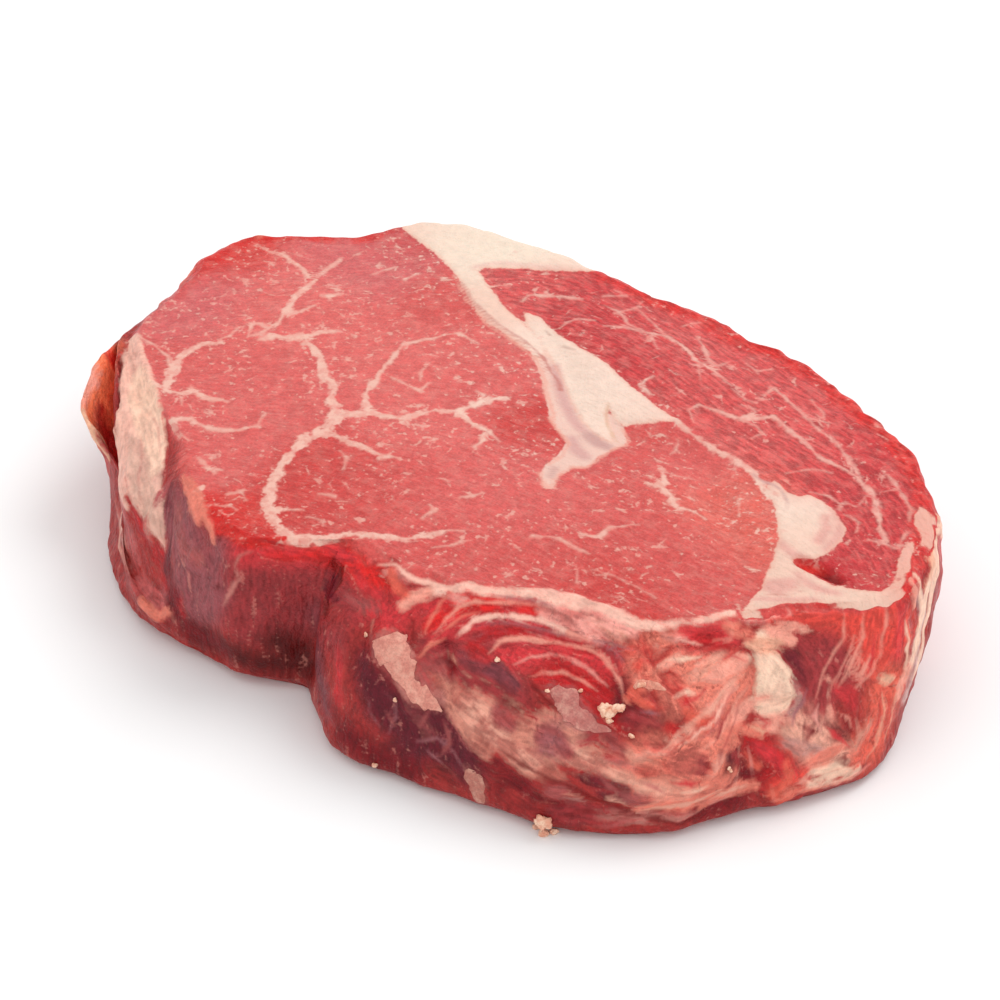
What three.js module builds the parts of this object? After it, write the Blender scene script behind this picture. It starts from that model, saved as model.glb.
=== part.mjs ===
// A raw boneless ribeye steak, one solid of meat lying on its cut face. Millimetres, +Z up.
// Its outline is given by bearing (degrees from +X, counter-clockwise), because a slice through
// the rib has no straight side: each table row is [bearing, size] and a smooth curve joins the rows.
import * as THREE from "three";

// Overall sizes
const THICKNESS = 30.2;        // middle of the upper cut face, above the lower one
const TILT_X = 0.012;          // the slice thickens towards +X
const TILT_Y = -0.006;         // and towards -Y
const HALF_LENGTH = 82;        // sets how the mesh lines share out round the oval
const HALF_WIDTH = 57;
const TOE_INSET = 3;           // the flat underside ends this far inside the foot
const TOE_HEIGHT = 2.2;

// Edge of the upper cut face. The notch near 255 is where the eye muscle meets the lip.
const CUT_EDGE = [
  [0, 81], [16, 77.5], [30, 71.2], [40, 65.2], [52, 60.5], [60, 58.2], [66, 55.2], [78, 54.8],
  [93, 54.7], [114, 62.5], [132, 73.7], [144, 73.7], [152, 78.5], [158, 84.2], [165, 84.7],
  [169, 82.2], [177, 79], [186, 77], [196, 68.5], [208, 61], [219, 59.5], [244, 54.5], [249, 49.5],
  [261, 42.5], [281, 43], [309, 47.5], [330, 59.5], [346, 68], [356, 79],
];

// Outline where the meat meets the table. It runs well outside the cut edge under the lip.
const FOOT = [
  [0, 80.5], [5, 77.5], [30, 68], [40, 62], [52, 59], [66, 55], [93, 55.3], [114, 62.5], [126, 69],
  [150, 74.5], [165, 80.5], [197, 74], [214, 71.8], [229, 64.8], [239, 57.5], [246, 55], [255, 50.2],
  [263, 52], [272, 58], [284, 60], [298, 64.2], [314, 73.7], [324, 77.2], [334, 77.8], [348, 84.3],
];

// How far the side swells out between foot and cut edge
const BULGE = [
  [0, 2], [20, 4], [40, 3], [186, 0.5], [200, 1], [215, 0.5], [245, 2.5], [255, 1], [262, 3],
  [275, 5], [290, 4.5], [300, 6], [330, 6], [345, 3],
];

// Rounding of the cut edge
const EDGE_ROUND = [
  [0, 2], [30, 1], [150, 2.5], [165, 3.5], [186, 2], [220, 3.5], [250, 3], [262, 4], [280, 3.5],
  [300, 4], [316, 5], [345, 2],
];

// The outer skin of the lean end peels off the side as a flap, beside a slab of fat: [bearing,
// height of the flap's free edge, how far the edge stands off, depth of the gap behind it, how far
// the slab stands off]. Elsewhere the side is plain.
const FLAP = [
  [0, 14, 0, 0, 0], [120, 14, 0, 0, 0], [165, 20, 0, 0, 0], [179, 24, 0.5, 0, 0.5],
  [186, 25.5, 3.5, 4, 2], [192, 24.5, 8, 8, 3.5], [198, 22.5, 10, 9, 4.5], [203, 19.5, 5, 7, 5],
  [208, 16, 1, 4, 4.6], [214, 12.5, 1, 4, 4], [221, 9.5, 1.5, 4, 2], [228, 6.5, 1.5, 3.5, 0],
  [234, 5, 0.5, 3, 0], [241, 4.5, 0, 2, 0], [262, 14, 0, 0, 0],
];

// Where the middle points of the side lie, as shares
const TOE_SHARE = 0.4;         // the toe keeps below this share of the free edge's height
const BELLY_SHARE = 0.55;      // belly, as a share of the free edge's height
const BELLY_STAND_OFF = 0.3;   // and of its stand-off
const GAP_SHARE = 0.25;        // start of the gap, on the way from the free edge to the shoulder
const GAP_STAND_OFF = 0.25;    // floor of the gap, as a share of the slab's stand-off
const SLAB_SHARE = 0.6;        // slab, on the way from the free edge to the shoulder
const SHOULDER_SHARE = 0.65;   // shoulder, on the way from the wall to the cut edge

// Creases and folds pressed into the side: bearing and height of the middle, half sizes, depth
const CREASES = [
  { bearing: 257, height: 15, across: 4, up: 15, depth: 3 },
  { bearing: 274, height: 22, across: 2.5, up: 7, depth: 2 },
  { bearing: 302, height: 20, across: 15, up: 2.2, depth: 1.6 },
  { bearing: 335, height: 15, across: 3, up: 12, depth: 1.8 },
  { bearing: 318, height: 6, across: 14, up: 2.4, depth: 1.8 },
  { bearing: 225, height: 18, across: 3.5, up: 9, depth: 1 },
];

// Muscles that stand a little proud of the upper cut face: middle, half sizes, height
const MUSCLES = [
  { x: -32, y: 22, halfX: 34, halfY: 26, height: 1 },
  { x: 12, y: -12, halfX: 42, halfY: 22, height: 1.2 },
  { x: 22, y: 36, halfX: 44, halfY: 12, height: 1 },
  { x: 62, y: -8, halfX: 14, halfY: 16, height: 0.8 },
];

// The fat seam between the eye muscle and the cap, sunk below both
const SEAM = [[-28, 66], [-12, 34], [8, 14], [34, 12], [50, -6], [64, -22]];
const SEAM_HALF_WIDTH = 4;
const SEAM_DEPTH = 1;
const RELIEF_FADE = 0.35;      // share of the way in from the edge over which the relief comes up

// Mesh: a square grid is wrapped to the oval for each cut face, and rings join the two faces.
// A ring's level says where it lies along the eight points of the side, 0 to 7.
const GRID = 36;
const RING_LEVELS = [0, 0.5, 1, 1.7, 2.4, 3, 3.5, 4, 4.6, 5.2, 5.8, 6.4, 7];

const MEAT = { color: "#dd726a", roughness: 0.35, metalness: 0 };

const radians = (degrees) => degrees * Math.PI / 180;
const bell = (distance) => Math.exp(-distance * distance);

// Smooth closed curve through a table: cubic Hermite pieces with central slopes
function sizeAt(rows, bearing, column = 1) {
  const count = rows.length;
  const angleOf = (index) => rows[(index + count) % count][0] + 360 * Math.floor(index / count);
  const valueOf = (index) => rows[(index + count) % count][column];
  const slopeOf = (index) =>
    (valueOf(index + 1) - valueOf(index - 1)) / (angleOf(index + 1) - angleOf(index - 1));
  let row = count - 1;
  while (rows[row][0] > bearing) row -= 1;
  const span = angleOf(row + 1) - angleOf(row);
  const t = (bearing - angleOf(row)) / span;
  const rise = t * t * (3 - 2 * t);
  return valueOf(row) * (1 - rise) + valueOf(row + 1) * rise
    + span * t * (1 - t) * (slopeOf(row) * (1 - t) - slopeOf(row + 1) * t);
}

function distanceToPath(x, y, path) {
  let nearest = Infinity;
  for (let i = 1; i < path.length; i += 1) {
    const [ax, ay] = path[i - 1];
    const [bx, by] = path[i];
    const lengthSquared = (bx - ax) ** 2 + (by - ay) ** 2;
    const along = THREE.MathUtils.clamp(
      ((x - ax) * (bx - ax) + (y - ay) * (by - ay)) / lengthSquared, 0, 1);
    nearest = Math.min(nearest, Math.hypot(x - ax - along * (bx - ax), y - ay - along * (by - ay)));
  }
  return nearest;
}

const plainTop = (x, y) => THICKNESS + TILT_X * x + TILT_Y * y;

// Height of the domes and the seam over the plain cut face, fading to nothing at its edge
function topRelief(x, y, fromEdge) {
  let relief = -SEAM_DEPTH * bell(distanceToPath(x, y, SEAM) / SEAM_HALF_WIDTH);
  for (const muscle of MUSCLES) {
    const reach = Math.hypot((x - muscle.x) / muscle.halfX, (y - muscle.y) / muscle.halfY);
    relief += muscle.height * bell(reach);
  }
  return relief * THREE.MathUtils.smoothstep(fromEdge, 0, RELIEF_FADE);
}

function creaseDepth(bearing, height) {
  let depth = 0;
  for (const crease of CREASES) {
    const across = (bearing - crease.bearing) / crease.across;
    const up = (height - crease.height) / crease.up;
    depth += crease.depth * bell(Math.hypot(across, up));
  }
  return depth;
}

// The side at one bearing, as eight [radius, height] points from the table to the cut face
function sideProfile(bearing) {
  const edge = sizeAt(CUT_EDGE, bearing);
  const foot = sizeAt(FOOT, bearing);
  const bulge = sizeAt(BULGE, bearing);
  const round = sizeAt(EDGE_ROUND, bearing);
  const lip = sizeAt(FLAP, bearing);
  const standOff = Math.max(0, sizeAt(FLAP, bearing, 2));
  const gap = Math.max(0, sizeAt(FLAP, bearing, 3));
  const slab = Math.max(0, sizeAt(FLAP, bearing, 4));
  const rimX = (edge - round) * Math.cos(radians(bearing));
  const rimY = (edge - round) * Math.sin(radians(bearing));
  const top = plainTop(rimX, rimY);
  const wallAt = (height) =>
    foot + (edge - foot) * height / top + bulge * Math.sin(Math.PI * Math.min(1, height / top));
  const toe = Math.min(TOE_HEIGHT, TOE_SHARE * lip);
  const belly = BELLY_SHARE * lip;
  const shoulder = top - round;
  const gapFloor = THREE.MathUtils.lerp(lip, shoulder, GAP_SHARE) - gap;
  const slabHeight = THREE.MathUtils.lerp(lip, shoulder, SLAB_SHARE);
  return [
    [foot - TOE_INSET, 0],
    [wallAt(toe), toe],
    [wallAt(belly) + BELLY_STAND_OFF * standOff, belly],
    [wallAt(lip) + standOff, lip],
    [wallAt(gapFloor) + GAP_STAND_OFF * slab, gapFloor],
    [wallAt(slabHeight) + slab, slabHeight],
    [THREE.MathUtils.lerp(wallAt(shoulder), edge, SHOULDER_SHARE), shoulder],
    [edge - round, top],
  ].map(([radius, height]) => new THREE.Vector2(radius, height));
}

const SPOKES = 4 * GRID;
const LAST_RING = RING_LEVELS.length - 1;

function spokeBearing(spoke) {
  const turn = 2 * Math.PI * spoke / SPOKES;
  const bearing = Math.atan2(HALF_WIDTH * Math.sin(turn), HALF_LENGTH * Math.cos(turn)) * 180 / Math.PI;
  return (bearing + 360) % 360;
}

function sidePoint(bearing, level) {
  const profile = new THREE.SplineCurve(sideProfile(bearing));
  const { x: radius, y: height } = profile.getPoint(level / (profile.points.length - 1));
  const pressed = radius - creaseDepth(bearing, height);
  return new THREE.Vector3(
    pressed * Math.cos(radians(bearing)), pressed * Math.sin(radians(bearing)), height);
}

// Where a grid line crossing lies on the oval: how far out (0 to 1) and on which spoke
function wrap(column, row) {
  const u = 2 * column / GRID - 1;
  const v = 2 * row / GRID - 1;
  const out = Math.max(Math.abs(u), Math.abs(v));
  if (out === 0) return { out, spoke: 0 };
  const quarter = SPOKES / 8;
  if (u >= Math.abs(v)) return { out, spoke: quarter * v / u };
  if (v >= Math.abs(u)) return { out, spoke: quarter * (2 - u / v) };
  if (-u >= Math.abs(v)) return { out, spoke: quarter * (4 + v / u) };
  return { out, spoke: quarter * (6 - u / v) };
}

// A cut face: grid corners on its border are those of the ring it closes, the others lie inside
function addFace(mesh, border, level, heightAt, facesUp) {
  const cornerAt = (column, row) => {
    const { out, spoke } = wrap(column, row);
    if (out === 1) return border[Math.round(spoke + SPOKES) % SPOKES];
    const rim = sidePoint(spokeBearing(spoke), level);
    const x = rim.x * out;
    const y = rim.y * out;
    return mesh.addCorner(new THREE.Vector3(x, y, heightAt(x, y, out)));
  };
  const lines = [];
  for (let row = 0; row <= GRID; row += 1) {
    const line = [];
    for (let column = 0; column <= GRID; column += 1) line.push(cornerAt(column, row));
    lines.push(line);
  }
  for (let row = 0; row < GRID; row += 1) {
    for (let column = 0; column < GRID; column += 1) {
      const corners = [
        lines[row][column], lines[row][column + 1], lines[row + 1][column + 1], lines[row + 1][column],
      ];
      mesh.addQuad(...(facesUp ? corners : corners.reverse()));
    }
  }
}

function addSide(mesh) {
  const rings = RING_LEVELS.map((level) => {
    const ring = [];
    for (let spoke = 0; spoke < SPOKES; spoke += 1) {
      ring.push(mesh.addCorner(sidePoint(spokeBearing(spoke), level)));
    }
    return ring;
  });
  for (let ring = 0; ring < LAST_RING; ring += 1) {
    for (let spoke = 0; spoke < SPOKES; spoke += 1) {
      const next = (spoke + 1) % SPOKES;
      mesh.addQuad(rings[ring][spoke], rings[ring][next], rings[ring + 1][next], rings[ring + 1][spoke]);
    }
  }
  return rings;
}

function steakGeometry() {
  const positions = [];
  const triangles = [];
  const mesh = {
    addCorner: (point) => positions.push(...point.toArray()) / 3 - 1,
    addQuad: (a, b, c, d) => triangles.push(a, b, c, a, c, d),
  };
  const rings = addSide(mesh);
  const topHeight = (x, y, out) => plainTop(x, y) + topRelief(x, y, 1 - out);
  addFace(mesh, rings[LAST_RING], RING_LEVELS[LAST_RING], topHeight, true);
  addFace(mesh, rings[0], RING_LEVELS[0], () => 0, false);

  const geometry = new THREE.BufferGeometry();
  geometry.setAttribute("position", new THREE.Float32BufferAttribute(positions, 3));
  geometry.setIndex(triangles);
  geometry.computeVertexNormals();
  return geometry;
}

// The finished steak stands over the origin: middle of its box in X and Y, underside at z = 0
function makeSteak() {
  const geometry = steakGeometry();
  geometry.computeBoundingBox();
  const { min, max } = geometry.boundingBox;
  geometry.translate(-(min.x + max.x) / 2, -(min.y + max.y) / 2, 0);
  const steak = new THREE.Mesh(geometry, new THREE.MeshStandardMaterial(MEAT));
  steak.name = "steak";
  return steak;
}

const part = new THREE.Group();
part.add(makeSteak());

export default part;
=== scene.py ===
import math
import bpy
import numpy as np
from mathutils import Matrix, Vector
from mathutils.bvhtree import BVHTree


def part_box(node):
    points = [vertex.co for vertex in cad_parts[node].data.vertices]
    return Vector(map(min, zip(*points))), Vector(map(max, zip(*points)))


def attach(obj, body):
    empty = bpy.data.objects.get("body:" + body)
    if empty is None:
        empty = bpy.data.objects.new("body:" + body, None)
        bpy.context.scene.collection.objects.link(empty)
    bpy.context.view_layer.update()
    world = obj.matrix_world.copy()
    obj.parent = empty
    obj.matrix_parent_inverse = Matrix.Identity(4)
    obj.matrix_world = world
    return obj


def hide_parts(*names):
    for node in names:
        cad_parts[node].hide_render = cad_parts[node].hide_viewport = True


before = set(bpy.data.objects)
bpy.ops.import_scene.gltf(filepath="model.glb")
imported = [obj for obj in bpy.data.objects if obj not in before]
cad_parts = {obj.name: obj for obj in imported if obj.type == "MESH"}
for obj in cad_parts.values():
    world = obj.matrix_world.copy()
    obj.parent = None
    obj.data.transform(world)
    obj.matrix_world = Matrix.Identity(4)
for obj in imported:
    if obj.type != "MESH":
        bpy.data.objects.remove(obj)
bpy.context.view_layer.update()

# ----------------------------------------
# The slice: a boneless ribeye, raw beef cut across the rib into one thick piece with two flat
# cut faces. Its side is the skin of the muscles, and a flap of that skin peels off the lean end.

MM = 0.001

# Outlines by bearing in degrees from +X, sizes in millimetres: each row is [bearing, size]
CUT_EDGE = [
    [0, 81], [16, 77.5], [30, 71.2], [40, 65.2], [52, 60.5], [60, 58.2], [66, 55.2], [78, 54.8],
    [93, 54.7], [114, 62.5], [132, 73.7], [144, 73.7], [152, 78.5], [158, 84.2], [165, 84.7],
    [169, 82.2], [177, 79], [186, 77], [196, 68.5], [208, 61], [219, 59.5], [244, 54.5], [249, 49.5],
    [261, 42.5], [281, 43], [309, 47.5], [330, 59.5], [346, 68], [356, 79],
]
FOOT = [
    [0, 80.5], [5, 77.5], [30, 68], [40, 62], [52, 59], [66, 55], [93, 55.3], [114, 62.5], [126, 69],
    [150, 74.5], [165, 80.5], [197, 74], [214, 71.8], [229, 64.8], [239, 57.5], [246, 55], [255, 50.2],
    [263, 52], [272, 58], [284, 60], [298, 64.2], [314, 73.7], [324, 77.2], [334, 77.8], [348, 84.3],
]
BULGE = [
    [0, 2], [20, 4], [40, 3], [186, 0.5], [200, 1], [215, 0.5], [245, 2.5], [255, 1], [262, 3],
    [275, 5], [290, 4.5], [300, 6], [330, 6], [345, 3],
]
EDGE_ROUND = [
    [0, 2], [30, 1], [150, 2.5], [165, 3.5], [186, 2], [220, 3.5], [250, 3], [262, 4], [280, 3.5],
    [300, 4], [316, 5], [345, 2],
]
# The flap at the lean end: bearing, height of its free edge, how far that stands off, depth of the
# gap behind it, how far the slab of fat beside it stands off
FLAP = [
    [0, 14, 0, 0, 0], [120, 14, 0, 0, 0], [165, 20, 0, 0, 0], [179, 24, 0.5, 0, 0.5],
    [186, 25.5, 3.5, 4, 2], [192, 24.5, 8, 8, 3.5], [198, 22.5, 10, 9, 4.5], [203, 19.5, 5, 7, 5],
    [208, 16, 1, 4, 4.6], [214, 12.5, 1, 4, 4], [221, 9.5, 1.5, 4, 2], [228, 6.5, 1.5, 3.5, 0],
    [234, 5, 0.5, 3, 0], [241, 4.5, 0, 2, 0], [262, 14, 0, 0, 0],
]
THICKNESS = 30.2
TILT_X = 0.012
TILT_Y = -0.006
HALF_LENGTH = 82
HALF_WIDTH = 57
CUT_LEVEL = 7          # a place on the side is (bearing, level): level 0 on the table, 7 at the cut
TOE_INSET = 3
TOE_HEIGHT = 2.2
# Where the other levels lie, as shares of the height of the flap's edge or of the height over it
TOE_SHARE = 0.4
BELLY_SHARE = 0.55
GAP_SHARE = 0.25
UPPER_SHARE = 0.6
# How far those levels follow the flap, the slab and the plain wall
BELLY_STAND_OFF = 0.3
GAP_STAND_OFF = 0.25
SHOULDER_ROUND = 0.35


def closed_curve(rows, bearing, column=1):
    """Smooth closed curve through the rows of an outline"""
    angle = np.array([row[0] for row in rows], float)
    value = np.tile(np.array([row[column] for row in rows], float), 3)
    angle = np.concatenate([angle - 360, angle, angle + 360])
    slope = np.zeros_like(value)
    slope[1:-1] = (value[2:] - value[:-2]) / (angle[2:] - angle[:-2])
    row = np.searchsorted(angle, bearing, side="right") - 1
    span = angle[row + 1] - angle[row]
    t = (bearing - angle[row]) / span
    rise = t * t * (3 - 2 * t)
    bend = span * t * (1 - t) * (slope[row] * (1 - t) - slope[row + 1] * t)
    return value[row] * (1 - rise) + value[row + 1] * rise + bend


def cut_height(x, y):
    return THICKNESS + TILT_X * x + TILT_Y * y


def side_points(bearing, level):
    """Points of the side, for arrays of bearing and level"""
    bearing = np.asarray(bearing, float) % 360
    level = np.asarray(level, float)
    edge, foot, bulge, rounding = (
        closed_curve(rows, bearing) for rows in (CUT_EDGE, FOOT, BULGE, EDGE_ROUND))
    lip = closed_curve(FLAP, bearing)
    stand_off, gap, slab = (np.maximum(0, closed_curve(FLAP, bearing, column)) for column in (2, 3, 4))
    angle = np.radians(bearing)
    top = cut_height((edge - rounding) * np.cos(angle), (edge - rounding) * np.sin(angle))

    def wall(height):
        share = np.minimum(1, height / top)
        return foot + (edge - foot) * height / top + bulge * np.sin(np.pi * share)

    toe = np.minimum(TOE_HEIGHT, TOE_SHARE * lip)
    belly = BELLY_SHARE * lip
    shoulder = top - rounding
    gap_floor = lip + GAP_SHARE * (shoulder - lip) - gap
    upper = lip + UPPER_SHARE * (shoulder - lip)
    radii = np.array([
        foot - TOE_INSET, wall(toe), wall(belly) + BELLY_STAND_OFF * stand_off, wall(lip) + stand_off,
        wall(gap_floor) + GAP_STAND_OFF * slab, wall(upper) + slab,
        SHOULDER_ROUND * wall(shoulder) + (1 - SHOULDER_ROUND) * edge, edge - rounding])
    heights = np.array([0 * top, toe, belly, lip, gap_floor, upper, shoulder, top])
    step = np.clip(np.floor(level).astype(int), 0, CUT_LEVEL - 1)
    t = level - step

    def along(values):
        a, b, c, d = (
            np.take_along_axis(values, np.clip(step + k, 0, CUT_LEVEL)[None], 0)[0]
            for k in (-1, 0, 1, 2))
        cubic = (3 * b - a - 3 * c + d) * t ** 3
        return 0.5 * (2 * b + (c - a) * t + (2 * a - 5 * b + 4 * c - d) * t ** 2 + cubic)

    radius = along(radii)
    return np.stack([radius * np.cos(angle), radius * np.sin(angle), along(heights)], -1)


def spoke_bearing(spoke):
    turn = 2 * np.pi * spoke / SPOKES
    return np.degrees(np.arctan2(HALF_WIDTH * np.sin(turn), HALF_LENGTH * np.cos(turn))) % 360


def wrapped_grid(cells):
    """A square grid wrapped to a disc: share of the way out and spoke of every crossing"""
    line = 2 * np.arange(cells + 1) / cells - 1
    v, u = np.meshgrid(line, line, indexing="ij")
    out = np.maximum(abs(u), abs(v))
    safe_u = np.where(u == 0, 1, u)
    safe_v = np.where(v == 0, 1, v)
    eighths = np.select(
        [u >= abs(v), v >= abs(u), -u >= abs(v)], [v / safe_u, 2 - u / safe_v, 4 + v / safe_u],
        6 - u / safe_v)
    return out, eighths * SPOKES / 8


def grid_quads(corner):
    """The four corners of every cell of a grid of corners"""
    return np.stack([corner[:-1, :-1], corner[:-1, 1:], corner[1:, 1:], corner[1:, :-1]], -1)


SPOKES = 720
RINGS = 76
CUT_CELLS = SPOKES // 4
UNDER_CELLS = CUT_CELLS // 2
FRONT_BEARING = 300    # the rings are an even distance apart here
FINE_STEPS = 400       # steps up the side that its rings are measured out on

fine_levels = np.linspace(0, CUT_LEVEL, FINE_STEPS)
front_line = side_points(np.full(fine_levels.shape, FRONT_BEARING), fine_levels)
front_run = np.concatenate([[0], np.cumsum(np.linalg.norm(np.diff(front_line, axis=0), axis=1))])
ring_levels = np.interp(np.linspace(0, front_run[-1], RINGS + 1), front_run, fine_levels)
spoke, level = np.meshgrid(np.arange(SPOKES), ring_levels)
bearing = spoke_bearing(spoke)
ring_corner = np.arange(spoke.size).reshape(spoke.shape)
next_corner = np.roll(ring_corner, -1, axis=1)
points = [side_points(bearing, level).reshape(-1, 3)]
bearings = [bearing.ravel()]
levels = [level.ravel()]
outs = [np.ones(spoke.size)]
faces = [np.stack([ring_corner[:-1], next_corner[:-1], next_corner[1:], ring_corner[1:]], -1)]
corner_count = spoke.size
for cells, ring, ring_level in ((CUT_CELLS, RINGS, CUT_LEVEL), (UNDER_CELLS, 0, 0)):
    out, spoke = wrapped_grid(cells)
    inner = out < 1 - 0.5 / cells
    corner = np.empty(out.shape, int)
    corner[~inner] = ring_corner[ring][np.round(spoke[~inner]).astype(int) % SPOKES]
    corner[inner] = corner_count + np.arange(inner.sum())
    corner_count += inner.sum()
    bearing = spoke_bearing(spoke[inner])
    flat = side_points(bearing, np.full(bearing.shape, ring_level))[:, :2] * out[inner, None]
    height = cut_height(flat[:, 0], flat[:, 1]) if ring_level else np.zeros(len(flat))
    points.append(np.column_stack([flat, height]))
    bearings.append(bearing)
    levels.append(np.full(len(flat), float(ring_level)))
    outs.append(out[inner])
    faces.append(grid_quads(corner) if ring_level else grid_quads(corner)[..., ::-1])
# The foot has two side lines for each line of the underside, so a thin triangle closes each odd one
odd = np.arange(1, SPOKES, 2)
gussets = np.stack([ring_corner[0][odd - 1], ring_corner[0][(odd + 1) % SPOKES], ring_corner[0][odd]], -1)

points = np.concatenate(points)
bearings = np.concatenate(bearings)
levels = np.concatenate(levels)
outs = np.concatenate(outs)
quads = np.concatenate([block.reshape(-1, 4) for block in faces])


def unit(ways):
    """The same ways, each of length 1"""
    return ways / np.linalg.norm(ways, axis=1, keepdims=True)


def corner_normals(places):
    """Area-weighted normals of the corners"""
    normals = np.zeros_like(places)
    for block in (quads, gussets):
        diagonal_a = places[block[:, 2]] - places[block[:, 0]]
        diagonal_b = places[block[:, -1]] - places[block[:, 1]]
        if block is gussets:
            diagonal_b = diagonal_a
            diagonal_a = places[block[:, 1]] - places[block[:, 0]]
        across = np.cross(diagonal_a, diagonal_b)
        for column in range(block.shape[1]):
            np.add.at(normals, block[:, column], across)
    return unit(normals)


LATTICE = 32           # the noise repeats after this many lumps


def lumps(places, size, seed):
    """Smooth seeded noise from -1 to 1 with lumps of the given size"""
    lattice = np.random.default_rng(seed).uniform(-1, 1, (LATTICE, LATTICE, LATTICE))
    scaled = places / size
    cell = np.floor(scaled).astype(int)
    t = scaled - cell
    t = t * t * (3 - 2 * t)
    total = np.zeros(len(places))
    for corner in np.ndindex(2, 2, 2):
        weight = np.prod(np.where(corner, t, 1 - t), axis=1)
        i, j, k = ((cell + corner) % LATTICE).T
        total += weight * lattice[i, j, k]
    return total


def unevenness(places, kinds):
    """Several kinds of lumps together, each given by its height, size and seed"""
    return sum(height * lumps(places, size, seed) for height, size, seed in kinds)


def lumpy_shift(places, size, reach, seed):
    """A seeded shift of up to reach in each direction"""
    return reach * np.stack([lumps(places, size, seed + axis) for axis in range(3)], -1)


def ramp(value, low, high):
    t = np.clip((value - low) / (high - low), 0, 1)
    return t * t * (3 - 2 * t)


def bell(distance):
    return np.exp(-distance ** 2)


def turned_from(at):
    """How far round from a bearing each corner lies, from -180 to 180 degrees"""
    return (bearings - at + 180) % 360 - 180


INNERMOST = 0.01       # spares the middle of a cut face a division by nothing

smooth_points = points
smooth_normals = corner_normals(points)
on_cut = (levels == CUT_LEVEL).astype(float)
on_under = (levels == 0) & (outs < 1)
on_side = (levels > 0) & (levels < CUT_LEVEL)
depth = np.maximum(0, cut_height(points[:, 0], points[:, 1]) - points[:, 2])
rim_reach = np.hypot(points[:, 0], points[:, 1]) / np.maximum(outs, INNERMOST)
from_edge = (1 - outs) * rim_reach + (outs == 1) * depth

# ----------------------------------------
# Marbling: veins of white fat between the bundles of muscle, each a line (x, y, half width).
# They lie flush in both cut faces, and the same sheets of fat come out on the plain sides.

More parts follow.
